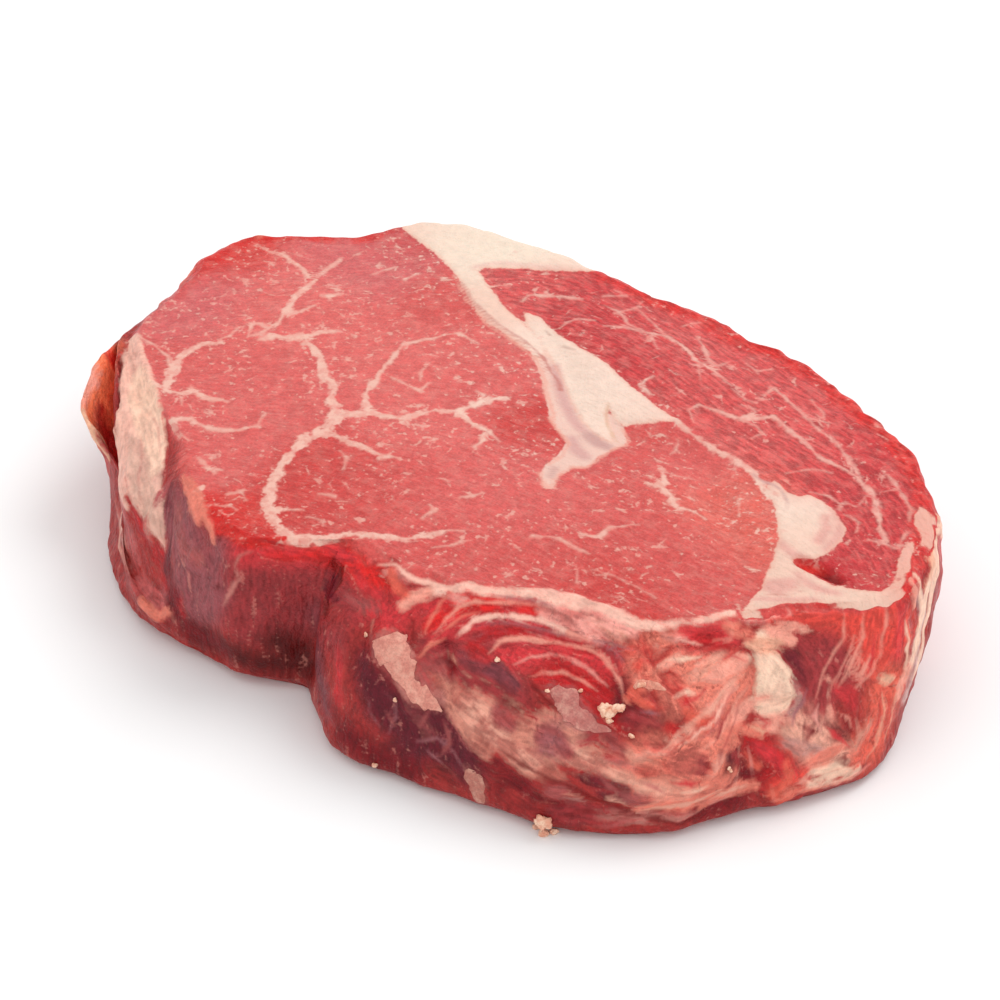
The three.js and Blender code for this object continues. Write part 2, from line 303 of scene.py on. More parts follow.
VEINS = [
    [(-73.1, 28.8, 0.2), (-69.6, 27.9, 0.3), (-67.6, 28.7, 0.5), (-64.7, 27.4, 0.5), (-61.2, 26.5, 0.5),
     (-58.1, 24, 0.5)],
    [(-56.9, 32.7, 0.4), (-57, 28.6, 0.4), (-56.6, 23.5, 0.6), (-57.2, 18.2, 0.8), (-55.5, 14.7, 0.8),
     (-55.2, 11.2, 0.7), (-54, 7, 0.4)],
    [(-55.1, 11.5, 0.5), (-52.8, 13.5, 0.5), (-51.6, 17.1, 0.2)],
    [(-52.2, 20.3, 0.3), (-51, 20.7, 0.7), (-50.1, 21.8, 0.3)],
    [(-54.2, 2.6, 0.3), (-52.7, 4.7, 0.8), (-49.8, 5.8, 0.8), (-47.6, 7.5, 0.8), (-45.8, 9.8, 0.6),
     (-43.3, 11.7, 0.3)],
    [(-57, 2.6, 0.3), (-58.5, 5.9, 0.4), (-57.2, 7.2, 0.4), (-55.1, 6.4, 0.3), (-55.3, 4.1, 0.4),
     (-56.4, 2.5, 0.4)],
    [(-47.3, 7.1, 0.8), (-44.9, 5.3, 0.8), (-41.6, 3.6, 0.8), (-38.7, -0.2, 0.8), (-35.6, -2.1, 0.7),
     (-33.7, -3.5, 0.6), (-32.2, -7.5, 0.7), (-29, -9.5, 1.1)],
    [(-29, -9.5, 1.3), (-28.1, -14.7, 1.3), (-29.7, -18.7, 1.1), (-29.4, -23.7, 0.8), (-28.7, -28, 0.8),
     (-26.8, -34, 0.9), (-24, -38.2, 1.1), (-20.6, -41, 1.1), (-17.6, -42.6, 1)],
    [(-28.7, -9.8, 1), (-26.2, -8, 0.9), (-24.6, -6.4, 0.9), (-21.6, -6.1, 0.6), (-17.5, -5.1, 0.6),
     (-16.7, -2.2, 0.6), (-15.8, -0.4, 0.5), (-17.4, -5.3, 0.6), (-15.9, -2.1, 0.6), (-14.2, 0.3, 0.5),
     (-10.4, 2, 0.8), (-9.4, 5.5, 0.7), (-7.9, 8.3, 0.8), (-5.7, 9.9, 0.5)],
    [(-24.6, -6.4, 1), (-27.2, -3.1, 0.6), (-28.6, -0.3, 0.6), (-28.8, 3.1, 0.6), (-29.4, 5.7, 0.4),
     (-29.9, 9.8, 0.5), (-30.5, 13.9, 0.5), (-28.4, 17, 0.4), (-26.2, 19.9, 0.3), (-23.6, 22.6, 0.4),
     (-19.3, 21.9, 0.2)],
    [(-10.4, 2, 0.8), (-6.7, 0.3, 0.5), (-3.4, -0.3, 0.5), (0.1, -1.7, 0.2)],
    [(-3.4, -0.3, 0.5), (-2.1, -3.7, 0.5), (-2.2, -5.2, 0.3)],
    [(-11.1, 8.9, 0.2), (-7.8, 8.2, 0.6)],
    [(-17.6, -42.6, 1), (-15.7, -42.9, 0.9), (-12.3, -41, 0.8), (-8.6, -37.4, 0.7), (-3.3, -34.6, 0.6),
     (0.9, -33.2, 0.7), (3.8, -30.7, 0.6), (3.2, -30.7, 0.6), (5.8, -28.2, 0.5), (8.2, -27, 0.2)],
    [(-25.8, -15, 0.9), (-21.2, -15.5, 0.6), (-17.6, -16.1, 0.5), (-15.3, -16.1, 0.6), (-12.8, -15.3, 0.3)],
    [(-60.4, -19.1, 0.8), (-62.4, -13.7, 1), (-63.5, -9.8, 0.9), (-63.5, -5.6, 0.7), (-62.4, -3.3, 0.6),
     (-60.3, -2, 0.3)],
    [(-60.7, -0.5, 0.2), (-59.9, 0.8, 0.4), (-59.9, 3.6, 0.3), (-59.2, 5.7, 0.2)],
    [(-65, -18.1, 0.3), (-60.4, -19.1, 0.8), (-56.6, -18.6, 0.8), (-55.4, -16.9, 0.8), (-52.2, -17, 0.6),
     (-48.8, -16.5, 0.3)],
    [(-56.7, -15.7, 0.2), (-54.8, -17.3, 0.4)],
    [(-55.1, -21, 0.2), (-56.6, -18.6, 0.5)],
    [(-56.2, -25.2, 0.6), (-53.6, -25.9, 0.8), (-50.8, -23.9, 0.5), (-47.8, -24.7, 0.5), (-44.9, -23.8, 0.4),
     (-41.5, -22.2, 0.4), (-39.5, -19.9, 0.4), (-40.3, -16.4, 0.2)],
    [(-53.7, -26, 0.8), (-51, -28.2, 0.4), (-48.3, -29.2, 0.2)],
    [(-75, -7.7, 0.3), (-70.4, -8.5, 0.3), (-66.6, -9.8, 0.3), (-63.6, -12.7, 0.4)],
    [(-39.9, -39.5, 0.3), (-37.6, -40.6, 1), (-35, -43.2, 1), (-33.9, -45.1, 1), (-31.2, -46.7, 0.8),
     (-28.6, -46.7, 0.3)],
    [(-38.4, -34.4, 0.3), (-41.2, -33.5, 0.4), (-42.6, -32.7, 0.2)],
    [(-40.2, -34.2, 0.4), (-37.9, -33.6, 0.3)],
    [(-32, -42.2, 0.2), (-30.1, -40.9, 0.3), (-29, -41.2, 0.2)],
    [(-32.2, -38.2, 0.3), (-31, -36.6, 0.4), (-29.2, -38, 0.2)],
    [(-22.2, -37.2, 0.8), (-20.4, -36.8, 0.5), (-18.9, -35.9, 0.2)],
    [(-16.4, -36.8, 0.2), (-14, -36.2, 0.3), (-13.3, -36.9, 0.2)],
    [(-18.2, -30.4, 0.2), (-16.5, -29.8, 0.3)],
    [(-22.1, -18.8, 0.2), (-20.1, -19.7, 0.2), (-19.2, -22, 0.2)],
    [(-26.5, 4.6, 0.2), (-22.9, 4, 0.3), (-20.2, 3.9, 0.4), (-20.1, 6.2, 0.3)],
    [(-48.6, 31.3, 0.2), (-47.8, 33.5, 0.2), (-46.4, 35.6, 0.2)],
    [(-42.1, 33.3, 0.3), (-41.2, 35.5, 0.3)],
    [(-23.3, 11.1, 0.3), (-22.7, 8.7, 0.3), (-21.9, 6.9, 0.2)],
    [(28.6, 6.5, 0.3), (31.2, 3.4, 0.7), (31, 1.9, 0.6)],
    [(28.1, 1.6, 0.1), (30.7, 1.9, 0.5), (34, 0.5, 0.6), (36.5, -2.1, 0.6), (39, -1, 0.3), (41.4, -1.4, 0.2)],
    [(28.8, 6.2, 0.3), (31.4, 6.4, 0.1), (34.1, 7.6, 0.1)],
    [(26.9, -17, 0.5), (29.1, -16.1, 0.5), (29.7, -13.4, 0.4), (32.9, -10, 0.2)],
    [(19.9, -21.8, 0.3), (23.9, -20.2, 0.3), (27.5, -20.7, 0.3), (29.8, -20.9, 0.2)],
    [(33.2, -23.9, 0.1), (36.7, -23.5, 0.1), (41.2, -23.8, 0.1), (44.9, -24.5, 0.1)],
    [(26.4, 16.2, 0.1), (27.4, 13.9, 0.3), (27.2, 12.8, 0.1)],
    [(30, -24.9, 0.1), (32, -27.7, 0.2)],
    [(44.5, 6, 0.1), (46.1, 2.8, 0.2)],
    [(6.7, -32.6, 0.2), (8.7, -30.9, 0.3), (10.7, -28.4, 0.2)],
    [(3.6, -19, 0.2), (5.2, -17.6, 0.5), (5.6, -16.9, 0.3)],
    [(0.7, -26.8, 0.2), (1, -24.7, 0.4), (0.2, -23.9, 0.2)],
    [(-15, -16.8, 0.3), (-14, -15.7, 0.7), (-12.6, -15.3, 0.3)],
    [(-19.5, 38.3, 0.15), (-19.5, 40.8, 0.28), (-17.4, 43, 0.42), (-14.4, 44.2, 0.35), (-11.1, 45, 0.28)],
    [(-17.4, 43, 0.35), (-18, 44.5, 0.15)],
    [(-8.9, 35.6, 0.15), (-7.7, 38.1, 0.35), (-5.3, 39.6, 0.28)],
    [(-5.7, 45.3, 0.15), (-2.3, 44.8, 0.35), (0.7, 42.1, 0.35), (5, 41.4, 0.35), (9, 42.4, 0.42),
     (13.1, 41.2, 0.49), (18, 38.1, 0.49), (22.3, 36.5, 0.49), (26.7, 34.6, 0.21)],
    [(-2, 39.2, 0.21), (0.8, 40.7, 0.35), (4.4, 40.8, 0.35)],
    [(-7.5, 48.4, 0.21), (-4.8, 50.1, 0.21)],
    [(-0.5, 47.9, 0.21), (3.3, 45.8, 0.28), (7.2, 43.5, 0.35)],
    [(-2.8, 44.5, 0.28), (-0.7, 47.8, 0.35), (-0.8, 50.1, 0.15)],
    [(13.9, 45.4, 0.15), (16.9, 42.6, 0.35), (19.7, 39.7, 0.35), (21.8, 38.4, 0.35)],
    [(18, 38.1, 0.35), (20.9, 33.6, 0.15)],
    [(21.8, 38.4, 0.35), (22.6, 40.9, 0.15)],
    [(18.8, 37.9, 0.15), (19.7, 39.7, 0.28)],
    [(9.9, 47.7, 0.21), (11.4, 49.8, 0.15)],
    [(6.6, 40.9, 0.28), (9.5, 38.1, 0.15)],
    [(26.2, 22, 0.15), (24, 24.2, 0.21), (24.6, 26.6, 0.28), (28.2, 26.8, 0.35), (32.2, 26.5, 0.42),
     (34.2, 27.4, 0.63), (36.3, 29.3, 0.49), (37.7, 30.4, 0.42), (41.9, 28.6, 0.42), (46.1, 26.6, 0.42),
     (51, 24.2, 0.42), (55.6, 23.8, 0.42), (59.1, 22.8, 0.42), (62.4, 20.6, 0.49), (65.3, 17.4, 0.49),
     (67.5, 13.6, 0.49), (70.6, 9.9, 0.42)],
    [(34.2, 27.4, 0.56), (34.6, 30.2, 0.42), (33.4, 30.6, 0.21)],
    [(34.6, 26.8, 0.35), (38.5, 25.4, 0.21), (37.7, 23.3, 0.15)],
    [(28.1, 33.4, 0.15), (30.9, 32.3, 0.35), (32.8, 32.4, 0.21)],
    [(26, 42.4, 0.15), (28.4, 41.5, 0.28), (29.8, 43.6, 0.21)],
    [(33.4, 35.8, 0.21), (33.8, 38, 0.35), (36, 37.1, 0.35), (40.3, 35.1, 0.35), (43.3, 33.8, 0.28),
     (46.2, 34.3, 0.35)],
    [(41.3, 38.7, 0.15), (44.3, 36.7, 0.28), (46.2, 34.3, 0.21)],
    [(40.3, 35.1, 0.28), (45.6, 31.9, 0.28), (51.1, 29.7, 0.42), (55.6, 26, 0.42), (59.2, 23, 0.42)],
    [(61.8, 26.8, 0.21), (64.4, 25.2, 0.35), (67.7, 22.4, 0.35), (70.3, 19.9, 0.35), (72.1, 16.9, 0.21)],
    [(64.8, 22.2, 0.15), (66.1, 23.1, 0.28)],
    [(47.9, 17.7, 0.15), (50.4, 20.6, 0.21), (53.7, 21.6, 0.15)],
    [(13, 25.9, 0.21), (12.9, 27.8, 0.35), (13.4, 29.2, 0.15)],
    [(13, 25.9, 0.4), (15.2, 25, 0.2)],
    [(60.3, 13.3, 0.21), (60.2, 15.3, 0.28), (61.8, 15.2, 0.21)],
    [(62.6, 19.9, 0.21), (62.5, 16.7, 0.21)],
    [(62.3, 11.9, 0.15), (64.9, 11.5, 0.21), (65.5, 9.3, 0.15)],
    [(68.9, 8.3, 0.21), (71.1, 8.7, 0.35), (74.1, 8.5, 0.21)],
    [(74.1, 8.5, 0.28), (73.1, 12.9, 0.28)],
    [(54.1, 14.7, 0.15), (56.9, 15.3, 0.28), (59.9, 14.1, 0.21)],
    [(-9.1, 34.9, 0.15), (-8.9, 36.2, 0.21)],
    [(23.8, 20.6, 0.5), (27, 18.9, 0.4), (32.3, 17.3, 0.5), (36.6, 16.4, 0.5), (41.1, 14.9, 0.6),
     (45.3, 12.4, 0.8), (48.1, 10, 0.9)],
]
VEIN_REACH = 4         # lines are not felt further away than this


def flat_line(path):
    """A line of the plan as points: x, y, 0, half width"""
    return np.array([(x, y, 0, half) for x, y, half in path], float)


def stretches(places, line, reach):
    """Each stretch of a line: the places near it, its run, their offsets from it and their distance,
    and how wide half the line is there"""
    above = places > line[:, :3].min(0) - reach
    below = places < line[:, :3].max(0) + reach
    near = np.flatnonzero(np.all(above & below, axis=1))
    for start, end in zip(line[:-1], line[1:]):
        run = end[:3] - start[:3]
        share = np.clip((places[near] - start[:3]) @ run / (run @ run), 0, 1)
        offset = places[near] - start[:3] - share[:, None] * run
        yield near, run, offset, np.linalg.norm(offset, axis=1), start[3] + share * (end[3] - start[3])


def nearest_line(places, normals, lines):
    """Distance across the nearest line with its sign, plain distance, and its half width there"""
    field = np.tile([VEIN_REACH, VEIN_REACH, 0.0], (len(places), 1))
    margin = np.full(len(places), float(VEIN_REACH))
    for line in lines:
        for near, run, offset, distance, half_width in stretches(places, line, VEIN_REACH):
            sideways = np.cross(normals[near], run)
            across = np.einsum("ij,ij->i", offset, sideways) / np.linalg.norm(sideways, axis=1)
            closer = distance - half_width < margin[near]
            margin[near[closer]] = (distance - half_width)[closer]
            field[near[closer]] = np.stack([across, distance, half_width], -1)[closer]
    return field


# Where each corner lies in the plan of the cut face: straight below on the side, and drifting
# a little with depth, as the sheets of fat lean inside the meat
PLAN_LUMP = 14
PLAN_DRIFT = 3
DRIFT_DEPTH = 9
cut_rim = side_points(bearings, np.full(bearings.shape, CUT_LEVEL))
plan = np.where(on_cut[:, None] > 0, points, cut_rim * outs[:, None])
plan = plan + lumpy_shift(points, PLAN_LUMP, PLAN_DRIFT, seed=11) * ramp(depth, 0, DRIFT_DEPTH)[:, None]
plan[:, 2] = 0
UP = np.tile([0.0, 0.0, 1.0], (len(points), 1))

# The side from the flap round the lip to the thick end is painted with its own layers. They end
# softly at these two bearings, and raggedly at these depths below the cut.
SKIN_START = 172
SKIN_END = 16
SKIN_BLEND = 8
SKIN_TOP = (0.8, 2)
SKIN_TOP_LUMPS = [(0.5, 1.8, 31)]
after_start = ramp(bearings, SKIN_START, SKIN_START + SKIN_BLEND)
before_end = 1 - ramp(bearings, SKIN_END - SKIN_BLEND, SKIN_END)
below_top = ramp(depth + unevenness(points, SKIN_TOP_LUMPS), *SKIN_TOP)
own_skin = (after_start + before_end) * below_top * (1 - on_under)

# The muscle fibres run along the slice: middle and reach of each patch, and their bearing
FIBRES = [
    (-60, 10, 22, 42), (-30, 25, 22, 30), (-35, -15, 20, 20), (5, -20, 26, -3), (40, -10, 20, -3),
    (-5, 46, 12, -20), (20, 38, 12, -18), (45, 28, 12, -14), (65, 12, 12, -40), (76, -5, 8, -60),
]
TINY = 1e-6            # keeps a way from having no length
flow = np.full(points.shape, TINY)
for x, y, reach, turn in FIBRES:
    way = np.array([math.cos(math.radians(turn)), math.sin(math.radians(turn)), 0])
    flow += bell(np.hypot(plan[:, 0] - x, plan[:, 1] - y) / reach)[:, None] * way
flow = unit(flow)

# Short fine veins are scattered between the long ones, and run roughly along the fibres. Each has
# two straight halves, and is as wide at its start and after each half as these shares say.
TWIGS = 300
TWIG_HALF_WIDTH = (0.15, 0.42)
TWIG_LENGTH = (0.5, 1.8)
TWIG_STRAY = 0.5       # in radians
TWIG_START = 0.4
TWIG_HALVES = (1, 0.3)
SEED = 7
random = np.random.default_rng(SEED)
twig_lines = []
for _ in range(TWIGS):
    turn = random.uniform(0, 2 * np.pi)
    reach = math.sqrt(random.uniform(0, 1))
    place = np.array([HALF_LENGTH * math.cos(turn), HALF_WIDTH * math.sin(turn)]) * reach
    nearest = np.argmin(np.hypot(plan[:, 0] - place[0], plan[:, 1] - place[1]))
    heading = math.atan2(flow[nearest, 1], flow[nearest, 0]) + random.normal(0, TWIG_STRAY)
    half = random.uniform(*TWIG_HALF_WIDTH)
    length = random.uniform(*TWIG_LENGTH)
    path = [(*place, TWIG_START * half)]
    for share in TWIG_HALVES:
        heading += random.normal(0, TWIG_STRAY)
        place = place + length / 2 * np.array([math.cos(heading), math.sin(heading)])
        path.append((*place, share * half))
    twig_lines.append(flat_line(path))

vein_field = nearest_line(plan, UP, [flat_line(path) for path in VEINS])
twig_field = nearest_line(plan, UP, twig_lines)
for field in (vein_field, twig_field):
    field[:, 2] -= VEIN_REACH * own_skin

# ----------------------------------------
# Fat: the thick wedge on the back and the kernels in the seam between eye and cap are solid
# white fat. The seam along the lip and the sleeve beside the kernel are thin pink tissue.

FAT = [
    [(-52.8, 47.9), (-55.6, 50.7), (-45.7, 60.9), (-32.4, 64.9), (-18.1, 63.4), (-12.6, 57.9), (-13.7, 54.5),
     (-19.4, 51), (-24.6, 48.6), (-29.6, 46), (-31.6, 43.5), (-32, 42.1), (-34, 39.7), (-35.9, 39.7),
     (-40.9, 42.7), (-45.9, 45.2)],
    [(-41, 42.9), (-35.9, 39.7), (-30.5, 35.2), (-24.7, 30.2), (-20.8, 28.1), (-15.1, 26.3), (-9.8, 24.7),
     (-6.5, 22.7), (-7.2, 26.6), (-9.7, 29.6), (-15.6, 32), (-19.5, 33.4), (-23.2, 35.8), (-27.6, 38.9),
     (-31.7, 42.3), (-36.4, 43.4)],
    [(-17.6, 35), (-14.4, 35.8), (-8.6, 32.9), (-2.6, 30.7), (3.8, 28.8), (12.1, 24.8), (19.5, 22),
     (24.1, 20.8), (19.5, 17.6), (16, 15.3), (13.7, 15.7), (11.4, 17.4), (11.7, 16.1), (15.6, 12.5),
     (17.3, 8.9), (15.5, 8.6), (12.7, 9.6), (8.5, 12.5), (4, 16.5), (-0.2, 20.7), (-5, 24.6), (-9.9, 28.5),
     (-14.6, 31.5)],
    [(46.5, 12.2), (46.9, 14.5), (50.3, 12.5), (52.9, 12.4), (53.8, 14), (56.5, 13.7), (60, 11.8),
     (64.2, 8.5), (64.9, 5), (64.8, 0.5), (63.2, -2.4), (60.9, -3.8), (62.9, -5.1), (65.5, -5.8),
     (68.9, -6.2), (72.7, -5.1), (76.7, -3.6), (77.3, -1.4), (76.6, 2.6), (75, 6.7), (74.8, 9.1),
     (74.5, 12.2), (76.6, 10.3), (77.9, 5.6), (78.2, 1.7), (79.4, -1.9), (79.8, -5.1), (78.4, -6.9), (74, -9),
     (69, -11.7), (64.9, -14.5), (61.9, -17.6), (60.3, -19.8), (59, -20.3), (59.3, -18), (59.3, -13.6),
     (58.1, -8.7), (56.9, -4), (55.7, -0.6), (53.3, 3.4), (50, 8)],
    [(72.1, 18.2), (71.4, 21.1), (73.7, 20.2), (77.8, 15.2), (80.8, 10.6), (83.5, 4.3), (85.1, -0.9),
     (84.2, -3.3), (82.2, -2.7), (81.3, 1.4), (79.7, 6.7), (77.1, 11.5), (74.5, 14.8)],
]
SLEEVE = [
    (-8.8, 25.7), (-7.4, 22.8), (-4.2, 19.6), (-1, 15.8), (2, 11.9), (4.3, 9.1), (7.4, 6.8), (10.5, 4.5),
     (11.1, 0), (11.1, -3.4), (11.6, -6.5), (14.4, -9.5), (15.7, -9), (14.5, -4.7), (15.1, -1.9),
     (17.4, -0.2), (17.6, 3.7), (18.5, 7.3), (19.1, 9.8), (18.4, 12.1), (16.1, 14.9), (13.1, 16.6),
     (11, 16.7), (7.9, 19.8), (1.3, 25.2), (-5.9, 30.1), (-9.2, 29.9),
]
FAT_REACH = 6
# The cap muscle lies inside this outline
CAP_OUTLINE = [(-60, 70), (-34, 42), (-20, 35), (-8, 34), (27, 21), (50, 13), (66, 2), (90, -4), (90, 70)]
CAP_EDGE = (-0.5, 0.5)
# Thin tissue and folds on and around the fat: colour, and places (x, y, half width)
TOUCHES = [
    ("tissue mauve", (-3.8, 23.9, 0.7), (0, 19, 0.9), (3.6, 15.1, 1), (7.5, 11.7, 1), (10.6, 9.4, 0.9)),
    ("tissue grey", (12.5, 8.5, 1.2), (15.2, 7.4, 1.4), (17.2, 7.2, 1)),
    ("tissue mauve", (10.6, 5.9, 0.9), (13, 3.3, 1.1), (15.4, 2.3, 1)),
    ("tissue grey", (13.5, -6, 0.5), (12.9, -3.6, 0.5)),
    ("tissue rose", (59.9, 12.1, 0.8), (62.6, 9.5, 1), (64.1, 5.2, 1), (64, 1.3, 0.8)),
    ("tissue rose", (59.5, 9.4, 0.7), (61.3, 6.2, 0.9), (61.8, 2.6, 1)),
    ("tissue rose", (56.3, -1.5, 0.7), (59.5, -3.1, 0.8), (61.7, -3, 0.7)),
    ("tissue rose", (59.8, -12.1, 1.4), (61.5, -11.7, 2), (62.9, -10.2, 1.6)),
    ("tissue rose", (62.8, -7.1, 0.5), (65.8, -8.4, 0.7), (68.4, -8.4, 0.7), (71, -7.7, 0.5)),
    ("tissue rose", (59.6, -16.5, 0.4), (62.4, -14.8, 0.6), (65.4, -13.3, 0.6), (68.8, -11.2, 0.5)),
    ("pit red", (61.8, -3.9, 0.7), (63.7, -3.7, 1.1), (65.5, -3.6, 0.9)),
    ("pit dark", (65.7, -4, 0.5), (67.7, -4.1, 0.8), (69.3, -4.4, 0.6)),
    ("tissue pale", (-33.1, 43, 0.5), (-30.3, 47.1, 0.5), (-25.1, 49.5, 0.5), (-19.8, 51.5, 0.5)),
]
TOUCH_REACH = 3
FINE_TOUCHES = [
    ("vein shadow", (-32.1, 36.6, 0.3), (-25.9, 31.8, 0.25), (-22.3, 30.2, 0.3), (-17.1, 28.1, 0.25),
     (-11.3, 26.4, 0.3), (-6.4, 24.6, 0.4), (-2.8, 21.6, 0.4), (0.3, 18.4, 0.4)),
    ("tissue pink", (-35.1, 38.6, 0.3), (-29.3, 33.6, 0.35), (-22.7, 28.8, 0.35), (-17.7, 27, 0.35),
     (-12.2, 25.1, 0.35), (-7.6, 23.4, 0.35), (-4.4, 20.3, 0.4), (-1.2, 16.4, 0.4), (2.8, 11.7, 0.4),
     (5.2, 9, 0.4)),
    ("tissue pink", (4.3, 9.1, 0.4), (8, 6.4, 0.5), (11.1, 4.1, 0.4), (11.7, 0.4, 0.4), (11, -3.1, 0.4)),
    ("tissue pink", (11.7, -6.4, 0.4), (14.4, -9.1, 0.4), (15.4, -8.2, 0.4), (14.4, -4.8, 0.4),
     (15, -1.7, 0.4), (17.4, -0.2, 0.4), (17.6, 3.7, 0.4), (18.5, 7.3, 0.4), (19.1, 10.1, 0.4),
     (17.9, 12.5, 0.4), (16, 14.8, 0.4)),
    ("fold tan", (10.8, 18.7, 0.2), (11.7, 16.4, 0.25), (13.4, 13.6, 0.3), (15.4, 11.6, 0.35),
     (17.2, 10, 0.3)),
    ("crack", (-10.9, 32.3, 0.15), (-9.6, 31.5, 0.15)),
    ("crack", (-5.5, 29.5, 0.15), (-3.3, 29.4, 0.15)),
    ("tissue grey", (43.1, 13.8, 0.35), (46.1, 13, 0.45), (49.3, 12.2, 0.4)),
    ("tissue grey", (50.1, 11.7, 0.25), (52.1, 9.6, 0.35), (52.9, 7.4, 0.25)),
    ("vein shadow", (60.5, -14.1, 0.15), (63.9, -12.7, 0.2), (65.6, -10.1, 0.15)),
]


def inside_distance(outline):
    """How far each corner lies inside an outline of the plan, negative outside it"""
    x = plan[:, 0]
    y = plan[:, 1]
    inside = np.zeros(len(x), bool)
    nearest = np.full(len(x), float(FAT_REACH))
    for (ax, ay), (bx, by) in zip(outline, outline[1:] + outline[:1]):
        run_x = bx - ax
        run_y = by - ay
        share = np.clip(((x - ax) * run_x + (y - ay) * run_y) / (run_x ** 2 + run_y ** 2), 0, 1)
        nearest = np.minimum(nearest, np.hypot(x - ax - share * run_x, y - ay - share * run_y))
        if run_y:
            inside ^= ((ay > y) != (by > y)) & (x < ax + (y - ay) * run_x / run_y)
    return np.where(inside, nearest, -nearest)


def stroke_margin(places, path, reach):
    """How far each place is from the stroke's edge, negative inside it, and the stroke's way there"""
    margin = np.full(len(places), float(reach))
    way = np.zeros(places.shape)
    for near, run, _, distance, half_width in stretches(places, path, reach):
        closer = distance - half_width < margin[near]
        margin[near[closer]] = (distance - half_width)[closer]
        way[near[closer]] = run / np.linalg.norm(run)
    return margin, way


# The skin of the side hides the fat behind it
fat = np.max([inside_distance(outline) for outline in FAT], axis=0) - 2 * FAT_REACH * own_skin
sleeve = inside_distance(SLEEVE) - 2 * FAT_REACH * own_skin
touches = [(name, stroke_margin(plan, flat_line(path), TOUCH_REACH)[0]) for name, *path in TOUCHES]
in_cap = ramp(inside_distance(CAP_OUTLINE), *CAP_EDGE)

# ----------------------------------------
# Colours of the meat as seen under the lamp, as red, green, blue from 0 to 255. The eye muscle
# is pink and finely speckled, the cap deeper red, and every edge that has dried is redder.

LEAN = {
    "eye pink": (228, 104, 100),
    "eye pale": (233, 111, 106),
    "eye rose": (222, 93, 89),
    "eye deep": (214, 75, 71),
    "orange rose": (234, 109, 97),
    "dusk rose": (222, 107, 107),
    "wedge rose": (213, 86, 86),
    "lean scarlet": (220, 65, 59),
    "pit red": (194, 31, 35),
    "cap rose": (219, 87, 86),
    "cap deep": (209, 69, 71),
    "cap wine": (200, 49, 55),
    "rim red": (222, 49, 45),
}
FAT_COLOUR = {
    "back fat": (252, 234, 213),
    "kernel fat": (252, 226, 208),
    "rim fat": (247, 208, 188),
    "edge fat": (240, 172, 154),
    "vein": (248, 194, 177),
    "cap vein": (248, 184, 170),
}
TOUCH_COLOUR = {
    "vein shadow": (206, 128, 118),
    "tissue pink": (244, 176, 158),
    "tissue mauve": (226, 174, 166),
    "tissue grey": (214, 166, 158),
    "tissue rose": (236, 176, 163),
    "tissue pale": (245, 203, 188),
    "fold tan": (228, 184, 154),
    "crack": (176, 124, 112),
    "pit red": (222, 50, 44),
    "pit dark": (136, 24, 30),
}
# Shades of the lean on the plan: middle, reach and colour of each
LEAN_PATCHES = [
    (-28, -45, 5, "lean scarlet"), (-22, -48, 3, "pit red"), (-50, -36, 5, "lean scarlet"),
    (-75, 10, 8, "dusk rose"), (-78, 21, 7, "lean scarlet"), (-51, 34, 9, "dusk rose"),
    (-49, 44, 6, "wedge rose"), (-32, 31, 7, "eye rose"), (4, 7, 6, "eye deep"),
    (-14, -6, 7, "eye pale"), (22, 10, 9, "eye rose"), (43, 6, 8, "orange rose"),
    (52, -2, 7, "orange rose"), (48, -14, 8, "eye rose"), (37, -29, 8, "eye deep"),
    (9, -16, 11, "eye pink"), (12, -33, 9, "eye rose"), (-19, -26, 8, "eye deep"),
    (-45, -14, 10, "eye pink"), (-55, 17, 10, "eye pale"), (-26, 12, 9, "eye pale"),
    (-15, 15, 8, "eye pink"), (-12, -22, 8, "eye rose"), (-45, -28, 8, "eye pink"),
    (23, -26, 8, "eye rose"), (36, -12, 8, "eye rose"), (33, 12, 7, "eye pink"),
    (-23, 42, 6, "cap rose"), (-6, 43, 7, "cap deep"), (21, 33, 8, "cap rose"), (42, 25, 8, "cap rose"),
    (59, 18, 7, "cap deep"), (71, 6, 6, "cap deep"), (66, -3, 4, "cap wine"), (0, 51, 5, "cap rose"),
    (22, 45, 6, "cap rose"), (42, 39, 6, "cap rose"), (64, 28, 6, "cap deep"), (10, 30, 6, "cap deep"),
    (30, 25, 6, "cap rose"), (76, 13, 5, "cap deep"), (54, 36, 5, "cap deep"),
]
# and the shades of the fat
FAT_PATCHES = [
    (-32, 54, 14, "back fat"), (-22, 37, 6, "rim fat"), (4, 20, 14, "kernel fat"),
    (-8, 33, 6, "kernel fat"), (52, 8, 8, "kernel fat"), (58, 2, 6, "rim fat"), (64, 6, 4, "rim fat"),
    (62, -14, 10, "rim fat"), (72, -6, 5, "rim fat"), (82, 4, 7, "edge fat"), (76, 16, 6, "edge fat"),
    (50, 14, 4, "edge fat"), (0, 46, 10, "cap vein"), (20, 38, 9, "cap vein"), (42, 30, 10, "cap vein"),
    (60, 22, 8, "cap vein"), (72, 10, 5, "cap vein"), (-18, 46, 6, "cap vein"),
]
CUT_LIGHT = 1.16       # how bright a pure white shows on the cut face
SIDE_LIGHT = 0.94      # and on the side, which sees less of the room
SHEEN = 0.014          # what the moist surface adds to every colour
DARKEST = 0.002
LIGHTEST = 0.95


def linear(colour, light=CUT_LIGHT):
    """Linear light of a colour without the sheen, by the standard curve of screens"""
    share = np.array(colour) / 255
    seen = np.where(share <= 0.04045, share / 12.92, ((share + 0.055) / 1.055) ** 2.4)
    return np.clip((seen - SHEEN) / light, DARKEST, LIGHTEST)


